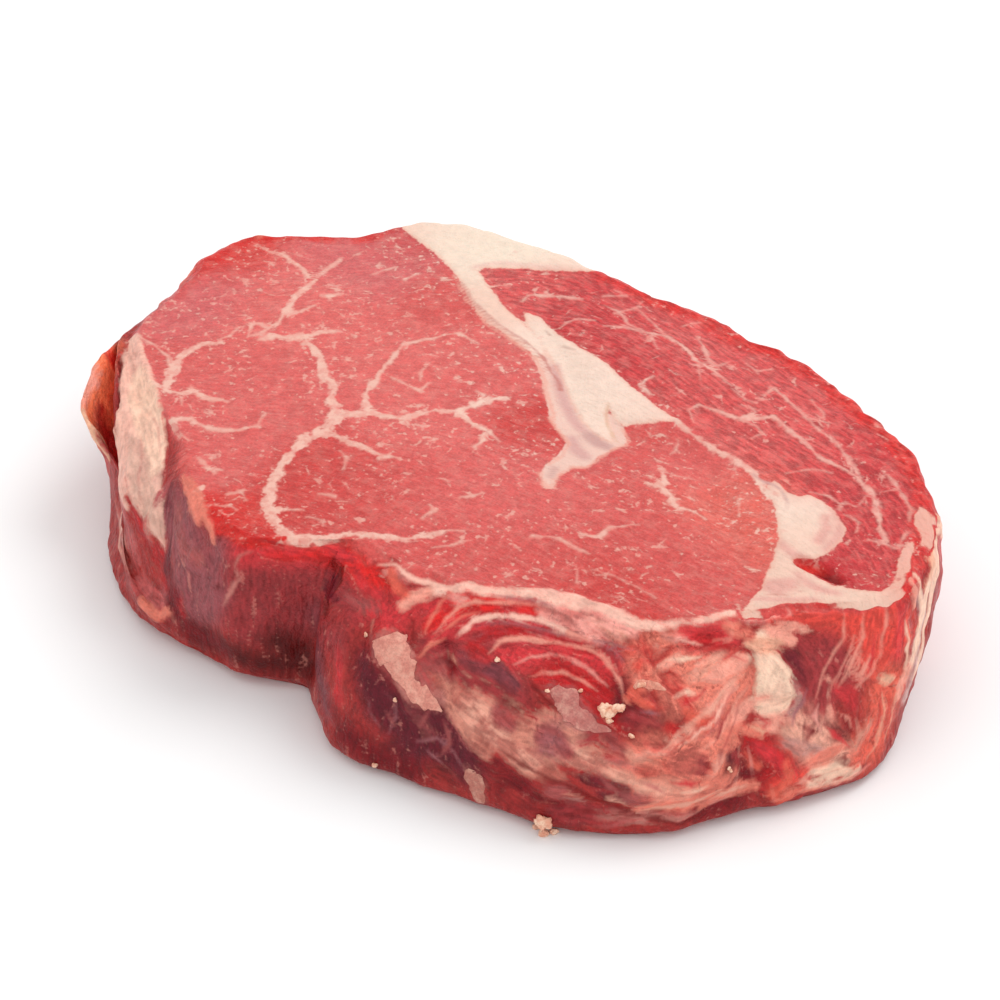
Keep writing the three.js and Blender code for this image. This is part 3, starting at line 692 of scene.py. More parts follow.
def blended(patches, palette, ground, ground_weight):
    """Colour of each corner from soft round patches over a ground colour"""
    total = np.full(len(points), ground_weight)
    colour = ground_weight * np.tile(linear(palette[ground]), (len(points), 1))
    for x, y, reach, name in patches:
        weight = bell(np.hypot(plan[:, 0] - x, plan[:, 1] - y) / reach)
        total += weight
        colour += weight[:, None] * linear(palette[name])
    return colour / total[:, None]


def lay_over(under, paint, share):
    """Changes what is under towards the paint laid over it, by the share that the paint covers"""
    under += share * (paint - under)


tint = blended(LEAN_PATCHES, LEAN, "eye rose", ground_weight=0.01)
fat_tint = blended(FAT_PATCHES, FAT_COLOUR, "vein", ground_weight=0.15)
sleeve_tint = np.tile(linear(TOUCH_COLOUR["tissue pale"]), (len(points), 1))

# The outer edge has dried to a ragged bright rim: bearing where it is strongest, spread, width
RIMS = [
    (30, 22, 3.0), (60, 26, 3.4), (88, 20, 2.6), (150, 12, 1.4), (160, 14, 2.2), (236, 10, 1.8),
    (246, 12, 2.4), (0, 14, 1.2),
]
RIM_LUMPS = [(1.4, 2.6, 51), (0.7, 1.2, 52)]
RIM_STRENGTH = 0.85
RIM_SOLID = 0.3        # the rim is full to this share of its width
RIM_END = 1.3          # and has faded out at this one
ragged = from_edge + unevenness(points, RIM_LUMPS)
for at, spread, width in RIMS:
    cover = bell(turned_from(at) / spread) * (1 - ramp(ragged, RIM_SOLID * width, RIM_END * width))
    lay_over(tint, linear(LEAN["rim red"]), RIM_STRENGTH * cover[:, None])

TOUCH_EDGE = (-0.7, 0.9)
PIT_CLEARING = 3       # no fat shows within the pit
for name, margin in touches:
    cover = (1 - ramp(margin, *TOUCH_EDGE))[:, None]
    lay_over(fat_tint, linear(TOUCH_COLOUR[name]), cover)
    lay_over(sleeve_tint, linear(TOUCH_COLOUR[name]), cover)
    if name.startswith("pit"):
        lay_over(tint, linear(TOUCH_COLOUR[name]), cover)
        fat -= PIT_CLEARING * cover[:, 0]

# ----------------------------------------
# The skin of the side: purple muscle, white films and pink layers, painted in strokes one over
# another, with painted shade in its clefts and near its foot, and painted light on the flap. A stroke
# is its colour and its places, and a place is (bearing, level, half width).

# Colour, layer it lies in from 0, the deepest, to 3, and how far it stands out in millimetres
SKIN_COLOUR = {
    # painted shade: the clefts between layers are sunk 1 mm and are also painted near-black red to stand in
    # for the shade in them
    "dark cleft": ((116, 20, 26), 0, -1),
    "blood": ((178, 40, 42), 1, -0.25),
    "oxblood": ((116, 30, 38), 1, -0.2),
    "crimson": ((202, 60, 64), 1, 0.1),
    "scarlet": ((206, 44, 42), 1, 0),
    "flame": ((220, 78, 68), 1, 0.15),
    "brick": ((158, 54, 52), 1, 0),
    "wine red": ((152, 58, 60), 1, 0),
    "rosewood": ((156, 60, 62), 1, 0),
    "plum": ((100, 38, 46), 1, -0.2),
    "grey plum": ((122, 62, 68), 1, 0),
    # painted shade: near-black brown laid low on the side near the foot and in creases, where less light
    # falls
    "umber": ((92, 28, 30), 1, -0.1),
    "mauve": ((146, 76, 80), 1, 0),
    # painted light: the flap's orange is made far brighter than its own colour, to stand in for light shining
    # through the thin flap where it lies in shade
    "ember": ((252, 130, 92), 1, 0),
    "dull rose": ((184, 94, 92), 1, 0.1),
    "mauve film": ((164, 84, 82), 2, 0.12),
    "violet grey": ((158, 98, 102), 2, 0.12),
    "grey film": ((184, 132, 124), 2, 0.2),
    "grey violet film": ((206, 172, 166), 2, 0.2),
    "dull film": ((196, 124, 114), 2, 0.3),
    "film": ((208, 136, 118), 2, 0.3),
    "pale film": ((224, 160, 140), 2, 0.35),
    "rose film": ((238, 160, 148), 2, 0.3),
    "coral": ((216, 96, 80), 3, 0.3),
    "salmon": ((222, 124, 106), 3, 0.3),
    "peach film": ((234, 156, 138), 3, 0.3),
    "tan film": ((230, 168, 142), 3, 0.4),
    # painted highlight along the free edge of the flap
    "pale tan": ((232, 178, 148), 3, 0.3),
    "ivory": ((240, 196, 172), 3, 0.25),
    "slab pink": ((234, 180, 162), 3, 0.25),
    "slab grey": ((218, 172, 154), 3, 0.25),
    "seam white": ((246, 190, 172), 3, 0.2),
    "side kernel": ((236, 198, 174), 3, 0.9),
}
# Broad soft shades under the layers
GROUND = [
    ("mauve", (224, 5.8, 4), (233, 5.6, 5), (237, 5.2, 5), (233, 4.4, 4)),
    ("mauve", (242, 5.8, 4), (242, 5, 4), (237, 4.3, 3)),
    ("wine red", (247, 5.5, 5), (250, 5.3, 6), (254, 5.2, 6), (250, 4.6, 6), (255, 4.2, 5), (248, 4.4, 5)),
    ("crimson", (245, 6.3, 2.5), (249, 6.3, 2.5), (254, 6.4, 2.5), (259, 6.3, 2.5)),
    # painted shade low on the front left, near the foot
    ("umber", (237, 3.8, 2.5), (244, 3.6, 2.5), (249, 2.4, 2.5), (256, 1.7, 2.5), (252, 3, 3)),
    ("oxblood", (232, 4.2, 2), (236, 4, 2), (242, 3.7, 2)),
    ("grey plum", (258, 4, 2.5), (263, 2.6, 2.5), (269, 2.1, 2)),
    ("wine red", (260, 4.2, 2), (268, 4.4, 3)),
    ("scarlet", (256, 6.6, 3), (264, 6.2, 3.5), (271, 6.1, 3)),
    ("rosewood", (264, 5.6, 3), (271, 5.5, 3)),
    ("crimson", (275, 5.5, 3), (279, 5.5, 2.5), (280, 5.9, 2.5)),
    ("plum", (276, 4, 2.5), (281, 2.9, 4), (287, 2.5, 5), (292, 2.4, 5), (296, 2.1, 4), (291, 2.9, 3.5),
     (286, 1.8, 3.5)),
    ("oxblood", (275, 1.7, 3), (281, 1.4, 3), (287, 1.3, 2.5)),
    ("rosewood", (290, 5.2, 4), (296, 5.2, 4), (301, 5, 4), (304, 4.6, 3)),
    ("crimson", (288, 6, 3), (296, 6.3, 3), (304, 6.5, 2.5)),
    ("mauve", (298, 5.9, 2), (306, 6.1, 2.5), (313, 6, 2)),
    ("crimson", (303, 5.5, 2.5), (312, 5.9, 2.5), (320, 5.8, 2.5)),
    ("blood", (311, 5.4, 3.5), (315, 5.3, 3.5), (318, 5.2, 3.5), (318, 4.8, 3)),
    ("oxblood", (321, 5.2, 3.5), (322, 4.8, 3.5), (324, 4.7, 3.5)),
    ("oxblood", (303, 1.8, 3), (307, 1.6, 3), (311, 1.5, 2.5)),
    ("violet grey", (309, 3.3, 2.5), (312, 4, 2)),
    ("salmon", (328, 5.8, 5), (332, 5.7, 5), (333, 5.2, 5)),
    ("salmon", (327, 5.8, 5), (330, 5.6, 6), (334, 5.2, 6), (330, 5, 6), (325, 3.9, 5), (331, 4, 5)),
    ("crimson", (333, 6.2, 2.5), (337, 6, 2.5)),
    ("salmon", (320, 2.8, 4), (324, 2.4, 4), (327, 2.4, 4), (331, 3, 4)),
    ("wine red", (345, 5.2, 4), (346, 4.7, 4), (344, 4, 3.5)),
    ("rosewood", (350, 5.3, 4), (348, 4.7, 4)),
    ("flame", (351, 6.5, 3), (353, 6, 4), (354, 5.4, 4), (357, 5.3, 4), (353, 4.8, 3)),
    ("coral", (354, 3.5, 4), (353, 2.5, 4), (350, 1.9, 4), (347, 1.9, 3)),
    ("pale film", (343, 3, 4), (341, 2.5, 4), (345, 2.1, 3)),
    ("blood", (335, 2.9, 3), (338, 2.2, 4), (339, 1.6, 3)),
    ("oxblood", (332, 1.6, 3), (328, 1.6, 3), (334, 2.2, 3)),
    # painted light on the flap
    ("ember", (188, 3.1, 3), (193, 3.3, 4), (198, 3.2, 3)),
    ("scarlet", (187, 4.2, 3), (194, 4.4, 3), (200, 4.2, 2.5)),
]
SKIN = [
    # painted shade in the gap behind the flap
    ("dark cleft", (190, 5.5, 0.5), (195, 5.5, 1.2), (201, 5.2, 1.6), (205, 5, 1.2)),
    # painted light: the glow of the flap
    ("ember", (189, 3.3, 2.2), (192, 3.5, 2.8), (196, 3.6, 2.4), (200, 3.5, 1.6)),
    ("scarlet", (187, 3.2, 1), (189, 5.4, 0.8)),
    # painted highlight on the flap's free edge
    ("pale tan", (197, 3, 0.8), (200, 3, 0.9), (201, 2.7, 0.9), (203, 2.6, 0.8)),
    ("slab pink", (186.5, 6.4, 1.5), (190, 6.4, 2.6), (195, 6, 3.6), (201, 5.75, 4.6), (207, 5.5, 5.2),
     (213.8, 5.45, 5.4), (220, 5.4, 4), (224.3, 5.15, 2.5), (227, 4.9, 1)),
    ("ivory", (193, 6.3, 1), (197, 6.1, 2.4), (202, 6, 2.6), (208, 5.9, 2.4), (214, 5.8, 1.6)),
    ("slab grey", (207, 5.3, 1.4), (213, 5.4, 2.2), (219, 5.4, 2.2), (224, 5.15, 1.4)),
    ("dull film", (201, 6.1, 0.2), (206, 6.1, 0.3), (212, 5.9, 0.25)),
    ("dull film", (206, 5.6, 0.2), (213, 5.5, 0.35), (220, 5.3, 0.25)),
    ("blood", (209, 5, 0.5), (215, 5, 0.9), (220, 5, 1.4), (224, 4.8, 2), (229, 4.7, 2.6), (233, 4.5, 2.4),
     (234, 4.3, 1.6)),
    ("dull rose", (212, 4.8, 0.9), (216, 4.8, 1.3), (219, 4.5, 2), (221, 4.2, 2)),
    ("rosewood", (218, 5, 0.6), (222, 4.8, 0.7), (225, 4.8, 0.6)),
    ("dull rose", (224, 4, 1.8), (227, 4, 2.2), (230, 4.2, 1.8)),
    ("salmon", (227, 3.2, 0.8), (230, 3.5, 1), (232, 4.1, 0.8)),
    ("plum", (221, 6, 1), (225, 5.6, 1.4), (228, 5.2, 1.6), (230, 4.8, 1.5), (233, 4.6, 1)),
    ("mauve film", (223, 6, 0.5), (228, 5.8, 1), (233, 5.5, 1.6), (237, 5.5, 1.4)),
    ("salmon", (223, 6.7, 0.7), (229, 6.7, 1), (234, 6.5, 0.8), (239, 6.1, 0.6)),
    ("dull film", (246, 6.3, 0.25), (245, 6.1, 0.4), (245, 5.8, 0.35), (246, 5.5, 0.5), (245, 5.2, 0.6),
     (244, 4.9, 0.6)),
    ("oxblood", (245, 6.95, 0.3), (247, 6.8, 0.5), (249, 6.6, 0.35)),
    ("dark cleft", (261, 6.1, 0.5), (262, 5.8, 0.8), (261, 5.5, 1), (261, 5, 1.1), (262, 4.7, 0.6)),
    ("plum", (259, 5.7, 1), (259, 5.2, 1), (264, 5.4, 0.8)),
    ("scarlet", (248, 6.2, 0.8), (252, 6.2, 0.9), (257, 6.2, 0.8)),
    ("crimson", (269, 4.2, 0.8), (270, 3.5, 1.1), (272, 2.5, 1)),
    ("pale film", (274, 5.2, 0.4), (275, 5, 0.4)),
    ("dark cleft", (259, 6, 0.8), (259, 6.3, 0.9), (259, 6.5, 0.6)),
    ("plum", (261, 5.3, 1.4), (261, 5.7, 1.2)),
    ("crimson", (264, 6.3, 0.8), (269, 6, 0.8), (273, 5.8, 0.8)),
    ("mauve film", (266, 5.6, 0.6), (271, 5.6, 0.8), (274, 5.4, 0.6)),
    ("film", (289, 4.8, 1.6), (291, 4.5, 2), (294, 3.9, 3.2), (298, 3.1, 4), (301, 2.8, 4), (305, 2.6, 3.6),
     (308, 2.5, 2.4), (310, 2.4, 1.2)),
    ("film", (291, 5, 1), (294, 4.7, 1.6), (300, 4.4, 1.8), (304, 3.8, 2)),
    ("pale film", (296, 3.8, 1.2), (300, 3.2, 1.8), (303, 2.9, 1.8), (306, 2.6, 1.2)),
    ("film", (305, 3.5, 2), (310, 3.7, 2.4), (314, 3.5, 3), (317, 3.1, 3.2), (319, 2.7, 3.4),
     (322, 2.4, 3.4), (324, 2.2, 3)),
    ("pale film", (311, 3, 1.6), (314, 2.8, 2), (317, 2.6, 1.8)),
    ("pale film", (318, 2.3, 1.6), (322, 2.1, 2), (324, 2, 1.6)),
    ("plum", (313, 2.5, 1), (315, 2.4, 1.4), (318, 2.3, 1.2), (317, 2, 1.4), (315, 2.2, 1)),
    ("dark cleft", (301, 2.7, 0.3), (305, 2.5, 0.5), (309, 2.3, 0.5), (312, 2.2, 0.5), (314, 2, 0.5),
     (315, 1.9, 0.3)),
    ("brick", (301, 2.4, 1.4), (304, 2.1, 1.4), (307, 2.1, 1)),
    ("mauve film", (309, 2, 1.6), (311, 2, 1.8), (312, 1.8, 1.2)),
    ("brick", (303, 1.6, 1.6), (306, 1.4, 1.6), (309, 1.4, 1.2)),
    ("mauve film", (289, 2.9, 0.5), (288, 2.5, 0.5)),
    ("mauve film", (292, 2.8, 0.5), (293, 2.4, 0.5), (292, 2, 0.4)),
    ("mauve film", (282, 2.7, 0.5), (284, 2.4, 0.5)),
    ("violet grey", (290, 2.1, 0.6), (292, 1.8, 0.6)),
    ("wine red", (309, 1.3, 1.2), (312, 1.5, 1.6), (316, 1.5, 1.8), (320, 1.5, 1.2)),
    ("dull rose", (314, 1.2, 0.4), (317, 1.2, 0.5), (319, 1.4, 0.4)),
    ("dark cleft", (316, 1.8, 0.35), (319, 1.6, 0.5), (322, 1.4, 0.6), (325, 1.2, 0.6), (328, 1.4, 0.5)),
    ("rosewood", (288, 5.35, 1.8), (292, 5.4, 2), (297, 5.45, 2)),
    ("grey plum", (295, 5.15, 2), (300, 5.1, 2.4), (303, 4.8, 2)),
    ("wine red", (290, 4.9, 1), (294, 4.75, 1.2), (296, 4.6, 1.2)),
    ("dull film", (279.2, 5.1, 1.6), (279.8, 4.95, 3), (282, 4.8, 3.2), (284.8, 4.1, 2.2), (287.4, 3.6, 2),
     (290, 3.3, 1.4)),
    ("mauve film", (276, 4.9, 0.5), (278, 4.7, 0.8), (281, 4.3, 0.9)),
    ("mauve film", (287, 4.85, 0.8), (290, 4.75, 0.9), (292, 4.55, 0.8)),
    ("salmon", (286, 4.95, 0.45), (288, 5.25, 0.7), (290, 5.4, 0.7)),
    # painted shade in a crease
    ("umber", (301, 4.35, 0.6), (303, 4.3, 0.8), (305, 4.15, 0.5)),
    ("scarlet", (287, 5.7, 1.6), (290, 5.95, 2.2), (295, 6.3, 2), (302, 6.45, 1.6), (309, 6.5, 1.2)),
    ("crimson", (289, 5.4, 1.2), (292, 5.7, 1.5), (296, 5.85, 1.2), (303, 6.05, 1.2), (310, 6.2, 1.2)),
    ("salmon", (286, 5.5, 0.3), (286.6, 5.85, 0.45), (287.6, 6.15, 0.5), (290, 6.45, 0.4)),
    ("peach film", (288, 5.5, 0.25), (289.5, 5.85, 0.4), (292, 6.15, 0.5), (296, 6.4, 0.5), (304, 6.55, 0.4),
     (310, 6.6, 0.3)),
    ("seam white", (292, 5.5, 0.4), (293.6, 5.75, 0.62), (296, 5.98, 0.72), (300, 6.18, 0.66),
     (304, 6.27, 0.62), (310, 6.35, 0.64), (314, 6.3, 0.6), (316, 6.2, 0.4)),
    ("violet grey", (299, 5.98, 0.3), (304, 6.13, 0.4), (310, 6.2, 0.4), (314, 6.17, 0.3)),
    ("blood", (296.5, 5.6, 0.8), (300, 5.85, 1), (306, 6, 1), (313, 6.05, 1), (318, 5.95, 0.8)),
    ("peach film", (299.5, 5.5, 0.4), (301.4, 5.72, 0.55), (304, 5.88, 0.6), (308, 5.97, 0.55),
     (313, 6.03, 0.45), (317, 6, 0.45), (319.6, 5.82, 0.45), (320.6, 5.5, 0.4), (320.4, 5.25, 0.3)),
    ("rose film", (304, 5.42, 0.3), (306.4, 5.62, 0.42), (310, 5.75, 0.42), (314, 5.77, 0.4),
     (317, 5.62, 0.4), (318.6, 5.4, 0.3)),
    ("peach film", (306.4, 5.25, 0.25), (308.6, 5.42, 0.36), (312, 5.52, 0.38), (315, 5.46, 0.36),
     (316.8, 5.28, 0.25)),
    ("blood", (308, 5.3, 1.6), (312, 5.45, 1.8), (316, 5.35, 1.6), (318, 5.2, 1.2)),
    ("violet grey", (319, 6.15, 0.4), (321, 6, 0.5), (322, 5.8, 0.4)),
    ("wine red", (319, 6.05, 0.6), (321, 5.9, 0.7), (321, 5.65, 0.5)),
    ("dark cleft", (306, 5.2, 0.3), (307, 5, 0.45), (309, 4.7, 0.5), (310, 4.5, 0.35)),
    ("mauve film", (309.8, 5.1, 1.4), (311.4, 5, 2.5), (312.7, 4.75, 2.6), (314.1, 4.5, 2.1),
     (316, 4.2, 1.6), (318, 3.8, 1)),
    ("seam white", (270, 6.55, 0.35), (274, 6.65, 0.5), (279, 6.6, 0.62), (284, 6.6, 0.64),
     (288, 6.6, 0.64)),
    ("seam white", (283, 6.2, 0.8), (286, 6.45, 0.95), (292, 6.65, 0.85), (298, 6.7, 0.8), (304, 6.8, 0.9),
     (310, 6.85, 1), (313, 6.85, 1.2), (318, 6.9, 1.4)),
    ("peach film", (280, 5.85, 0.8), (281, 6.05, 1.3), (284, 6.25, 1.1)),
    ("rose film", (310, 6.65, 0.8), (315, 6.6, 1.5), (319, 6.6, 2.1), (323, 6.6, 2.2), (325, 6.45, 1.6)),
    # painted shade: a thin dark line just under the white seam line
    ("violet grey", (301, 6.65, 0.35), (307, 6.7, 0.4), (313, 6.65, 0.4)),
    ("pale film", (316, 6.45, 0.8), (320, 6.35, 1), (323, 6.2, 0.8)),
    ("seam white", (310, 6.75, 0.8), (317, 6.85, 1), (321, 6.95, 0.95), (324, 6.75, 0.9), (327, 6.6, 0.9),
     (331, 6.65, 0.72), (336, 6.7, 0.66), (341, 7, 0.74)),
    ("rose film", (319, 6.55, 0.5), (322, 6.45, 0.6), (323, 6.3, 0.5)),
    ("violet grey", (316, 6.2, 0.3), (321, 6.15, 0.4), (324, 6, 0.3)),
    ("dark cleft", (281, 5.7, 0.25), (283, 5.65, 0.4), (284, 5.45, 0.45), (284, 5.2, 0.35), (286, 5, 0.25)),
    ("film", (309, 4.3, 0.9), (312, 4, 1), (315, 3.5, 0.8)),
    ("blood", (327, 5.5, 1.6), (328, 5.2, 1.6), (328, 4.8, 1.6), (326, 4.3, 1.4)),
    ("flame", (324, 6, 1.2), (327, 6, 1.2), (324, 5.7, 1)),
    ("salmon", (323, 5.4, 1.2), (321, 5.2, 0.8)),
    ("crimson", (332, 6.5, 0.8), (335, 6.3, 1.4), (338, 6.2, 1)),
    ("peach film", (339, 6.3, 0.5), (338, 6, 0.5), (336, 6, 0.4)),
    ("peach film", (340, 5.8, 0.9), (342, 5.8, 1.4), (344, 5.8, 1.6), (345, 5.6, 1.2)),
    ("blood", (332, 6, 0.7), (334, 6.1, 0.9), (336, 6, 0.8)),
    ("dark cleft", (333, 6, 0.3), (335, 5.9, 0.4)),
    ("flame", (344, 6.2, 1), (347, 6.2, 1), (348, 6, 1.2), (351, 6.2, 1)),
    ("ivory", (347, 5.8, 0.3), (347, 5.7, 0.35), (348, 5.7, 0.3)),
    ("peach film", (335, 5.6, 1), (332, 5.5, 1.4), (335, 5.3, 1.6), (338, 5.5, 1.2)),
    ("peach film", (327, 6, 0.8), (329, 5.8, 1), (327, 5.7, 0.8)),
    ("blood", (326, 6.2, 1), (326, 5.8, 1.1), (329, 6, 0.9)),
    ("oxblood", (322, 4.9, 2.4), (323, 4.7, 2.8), (325, 4.3, 2.4), (325, 4.8, 2)),
    ("peach film", (320, 3.2, 0.5), (323, 3.6, 0.8), (327, 4.2, 1), (330, 4.5, 1.2), (333, 4.8, 1.2),
     (335, 5, 1)),
    ("peach film", (328, 2.4, 0.5), (331, 3, 0.8), (333, 3.7, 1), (335, 4.2, 1.2), (337, 4.5, 1)),
    ("rosewood", (330, 3.6, 0.5), (332, 4.2, 0.6), (334, 4.5, 0.5)),
    ("blood", (324, 2.9, 1.4), (326, 2.9, 1.8), (328, 2.7, 1.4)),
    ("plum", (333, 3.2, 1.6), (332, 2.6, 1.8), (331, 2.1, 1.5)),
    ("side kernel", (341, 5.7, 1.6), (341, 5.3, 2.6), (341, 5, 3.4), (340, 4.7, 3.2), (340, 4.3, 2.4)),
    ("peach film", (338, 4.3, 1.6), (340, 3.9, 1.4), (339, 3.5, 1.4), (337, 3.6, 1.2)),
    ("ivory", (338, 4.3, 0.6), (340, 4.3, 0.8), (342, 4.3, 0.6)),
    ("grey film", (343, 4.8, 0.8), (343, 4.4, 1), (341, 3.8, 1)),
    ("plum", (344, 5.3, 1.4), (345, 4.9, 1.8), (345, 4.4, 1.8), (344, 4.9, 1.4)),
    ("flame", (355, 6.2, 1.4), (354, 5.6, 1.3), (353, 5.2, 1)),
    ("flame", (357, 6.4, 1.2), (357, 5.5, 1.2), (356, 5, 1), (354, 4.4, 0.7)),
    ("crimson", (358, 6, 0.8), (357, 5.2, 0.8), (356, 4.6, 0.7)),
    ("peach film", (352, 6.2, 0.25), (351, 5.5, 0.3), (349, 5.2, 0.3), (347, 4.8, 0.3), (345, 4.2, 0.3)),
    ("peach film", (352, 5.5, 0.3), (351, 5.2, 0.35), (349, 4.7, 0.3), (347, 4.2, 0.25)),
    ("peach film", (354, 6.2, 0.25), (353, 5.5, 0.35), (351, 5, 0.5), (349, 4.4, 0.4), (348, 4.2, 0.3)),
    ("peach film", (353, 5, 0.5), (351, 4.5, 0.5), (350, 4.4, 0.3)),
    ("peach film", (356, 6.2, 0.3), (355, 5.4, 0.4), (354, 4.8, 0.4), (352, 4.4, 0.4), (350, 4.1, 0.3)),
    ("oxblood", (345, 3.1, 0.7), (346, 2.6, 1), (347, 2.3, 0.8)),
    ("dark cleft", (347, 3.2, 0.3), (348, 2.6, 0.4), (349, 2.4, 0.3)),
    ("peach film", (347, 4.5, 0.7), (346, 4, 0.8), (346, 3.4, 0.7)),
    ("pale film", (340, 3.2, 1.4), (341, 2.6, 1.8), (344, 2.3, 1.6), (343, 2.6, 1.4)),
    ("film", (345, 2.3, 0.8), (348, 2.1, 1), (350, 2.5, 1)),
    ("tan film", (353, 4.1, 0.5), (354, 3.9, 0.9), (355, 3.9, 0.5)),
    ("tan film", (353, 3.5, 0.3), (353, 2.5, 0.35), (351, 1.8, 0.3)),
    ("tan film", (355, 3, 0.3), (354, 2.1, 0.35), (353, 1.8, 0.3)),
    ("blood", (353, 3.6, 0.3), (352, 2.5, 0.35), (351, 2, 0.3)),
    ("blood", (354, 3.1, 0.25), (353, 2.2, 0.3)),
    ("ivory", (342, 1.9, 1), (344, 1.8, 1.3), (346, 1.7, 0.7)),
    ("dark cleft", (345, 1.9, 0.4), (346, 1.7, 0.6), (347, 1.6, 0.4)),
    ("peach film", (340, 1.8, 1), (342, 1.4, 0.9), (345, 1.2, 0.8), (348, 1.4, 0.8)),
    ("flame", (337, 1.6, 1), (339, 1.8, 1.4), (341, 2, 1.2)),
    ("coral", (337, 1.4, 1), (338, 1.2, 1.2), (339, 1.2, 1)),
    ("tan film", (27, 3.5, 1), (10, 7, 1.6), (8, 6, 1.8), (7, 5.7, 1.6), (4, 5.6, 1.4)),
    ("ivory", (28, 3.3, 0.8), (26, 3.5, 0.8), (10, 6.7, 0.8)),
    ("grey violet film", (2, 5.7, 1.4), (2, 4.9, 1.8), (360, 4.5, 2), (358, 3.5, 1.8), (357, 2.5, 1.4)),
    ("ivory", (358, 5.5, 0.5), (358, 4.8, 0.6), (357, 3.9, 0.6)),
    ("violet grey", (359, 5.5, 0.4), (359, 5, 0.5)),
    ("violet grey", (359, 4, 0.5), (358, 3.1, 0.5)),
    ("pale film", (323, 3.5, 0.3), (326, 4.15, 0.45), (329, 4.55, 0.45), (332, 4.8, 0.4), (334, 5, 0.35),
     (337, 5.2, 0.3)),
    ("blood", (324, 3.4, 0.25), (328, 4.15, 0.3), (330, 4.45, 0.3), (333, 4.75, 0.3)),
    ("seam white", (326, 3.7, 0.25), (329, 4.25, 0.35), (332, 4.6, 0.35), (334, 4.8, 0.3)),
    ("dull rose", (328, 3.85, 0.3), (331, 4.3, 0.35), (333, 4.6, 0.3), (335, 4.9, 0.25)),
    ("peach film", (328, 3.3, 0.3), (331, 3.85, 0.35), (333, 4.2, 0.35), (335, 4.6, 0.3), (337, 4.9, 0.25)),
    ("wine red", (330, 2.75, 0.3), (331, 3.25, 0.35), (334, 4, 0.3), (335, 4.5, 0.25)),
    ("blood", (329, 4.1, 0.3), (332, 4.4, 0.3)),
    ("blood", (324, 5.5, 0.6), (324, 5.2, 0.8), (324, 5, 0.6)),
    ("ivory", (323, 5.45, 0.4), (325, 5.4, 0.5), (324, 5.35, 0.4)),
    ("ivory", (328, 5.8, 0.5), (330, 5.75, 0.7), (333, 5.75, 0.5)),
    ("pale film", (330, 5.4, 0.8), (333, 5.5, 1), (336, 5.65, 0.7)),
    ("crimson", (328, 5, 0.5), (330, 5.05, 0.5), (332, 5.2, 0.4)),
    ("ivory", (327, 5.15, 0.5), (329, 5.2, 0.6), (330, 5.15, 0.4)),
    ("blood", (334, 5.85, 0.5), (337, 5.85, 0.6), (338, 5.7, 0.5)),
    ("seam white", (331, 6.25, 0.3), (333, 6.1, 0.4), (334, 6, 0.3)),
    ("crimson", (336, 5.55, 0.4), (337, 5.6, 0.5), (338, 5.45, 0.4)),
    ("wine red", (320, 4.65, 1.2), (322, 4.6, 1.6), (323, 4.3, 1.4)),
    ("violet grey", (322, 4.9, 0.5), (323, 4.85, 0.6), (324, 4.8, 0.4)),
    ("rosewood", (313, 3.5, 0.7), (315, 3.95, 0.9), (316, 3.6, 0.6)),
    ("mauve film", (308, 3.5, 0.8), (310, 3.4, 1), (311, 3, 0.7)),
    ("dark cleft", (308, 3.9, 0.2), (310, 3.85, 0.3), (310, 3.5, 0.25)),
    ("wine red", (316, 3.35, 0.4), (318, 3.2, 0.5), (319, 2.95, 0.4)),
    ("mauve film", (315, 2.6, 0.5), (316, 2.35, 0.6), (317, 2.25, 0.5)),
    ("dull rose", (320, 2.5, 0.4), (322, 2.4, 0.5), (323, 2.25, 0.4)),
    ("ivory", (325, 2.25, 0.5), (327, 2.25, 0.6), (328, 2.3, 0.4)),
    ("crimson", (324, 2.55, 0.6), (326, 2.4, 0.7), (327, 2.4, 0.5)),
    ("wine red", (325, 3.15, 1), (327, 3.2, 1.3), (328, 3.05, 1.1)),
    # painted shade in a crease
    ("umber", (332, 3.05, 0.4), (332, 2.55, 0.5), (331, 2.25, 0.4)),
    ("peach film", (331, 1.65, 0.25), (332, 2, 0.35), (333, 2.55, 0.3), (334, 3, 0.25)),
    ("rose film", (329, 1.55, 0.3), (331, 1.6, 0.35), (332, 1.7, 0.3)),
    ("film", (310, 1.95, 0.4), (311, 2, 0.5), (313, 1.95, 0.4)),
    ("dark cleft", (307, 2.25, 0.2), (310, 2.25, 0.3), (312, 2.1, 0.4), (314, 1.9, 0.4), (317, 1.85, 0.3),
     (319, 1.9, 0.2)),
    ("tan film", (340, 5.75, 0.7), (341, 5.65, 0.9), (343, 5.55, 0.7)),
    ("wine red", (346, 5.15, 0.8), (346, 4.75, 1), (344, 4.25, 0.8)),
    ("violet grey", (344, 4.45, 0.5), (342, 3.9, 0.6), (341, 3.35, 0.4)),
    ("peach film", (352, 5.1, 0.3), (351, 4.7, 0.4), (349, 4.45, 0.4), (348, 4.2, 0.3)),
    ("crimson", (354, 5.4, 0.5), (353, 4.9, 0.6), (352, 4.5, 0.5)),
    ("wine red", (354, 4.5, 0.3), (353, 4.1, 0.4), (351, 4.05, 0.3)),
    ("rose film", (344, 2.85, 0.4), (344, 3.45, 0.5), (345, 3.95, 0.4)),
    ("crimson", (345, 2.95, 0.5), (346, 2.55, 0.7), (347, 2.2, 0.6)),
    ("peach film", (347, 3.3, 0.3), (348, 3, 0.4), (348, 2.65, 0.3)),
    ("pale film", (349, 2.9, 0.3), (349, 2.4, 0.4), (348, 2.1, 0.3)),
    ("tan film", (353, 3.5, 0.3), (353, 2.6, 0.4), (352, 1.95, 0.3), (350, 1.6, 0.3)),
    ("blood", (354, 3.1, 0.25), (354, 2.35, 0.3), (353, 1.85, 0.25)),
    ("oxblood", (342, 3.25, 0.5), (343, 2.9, 0.6), (342, 2.7, 0.4)),
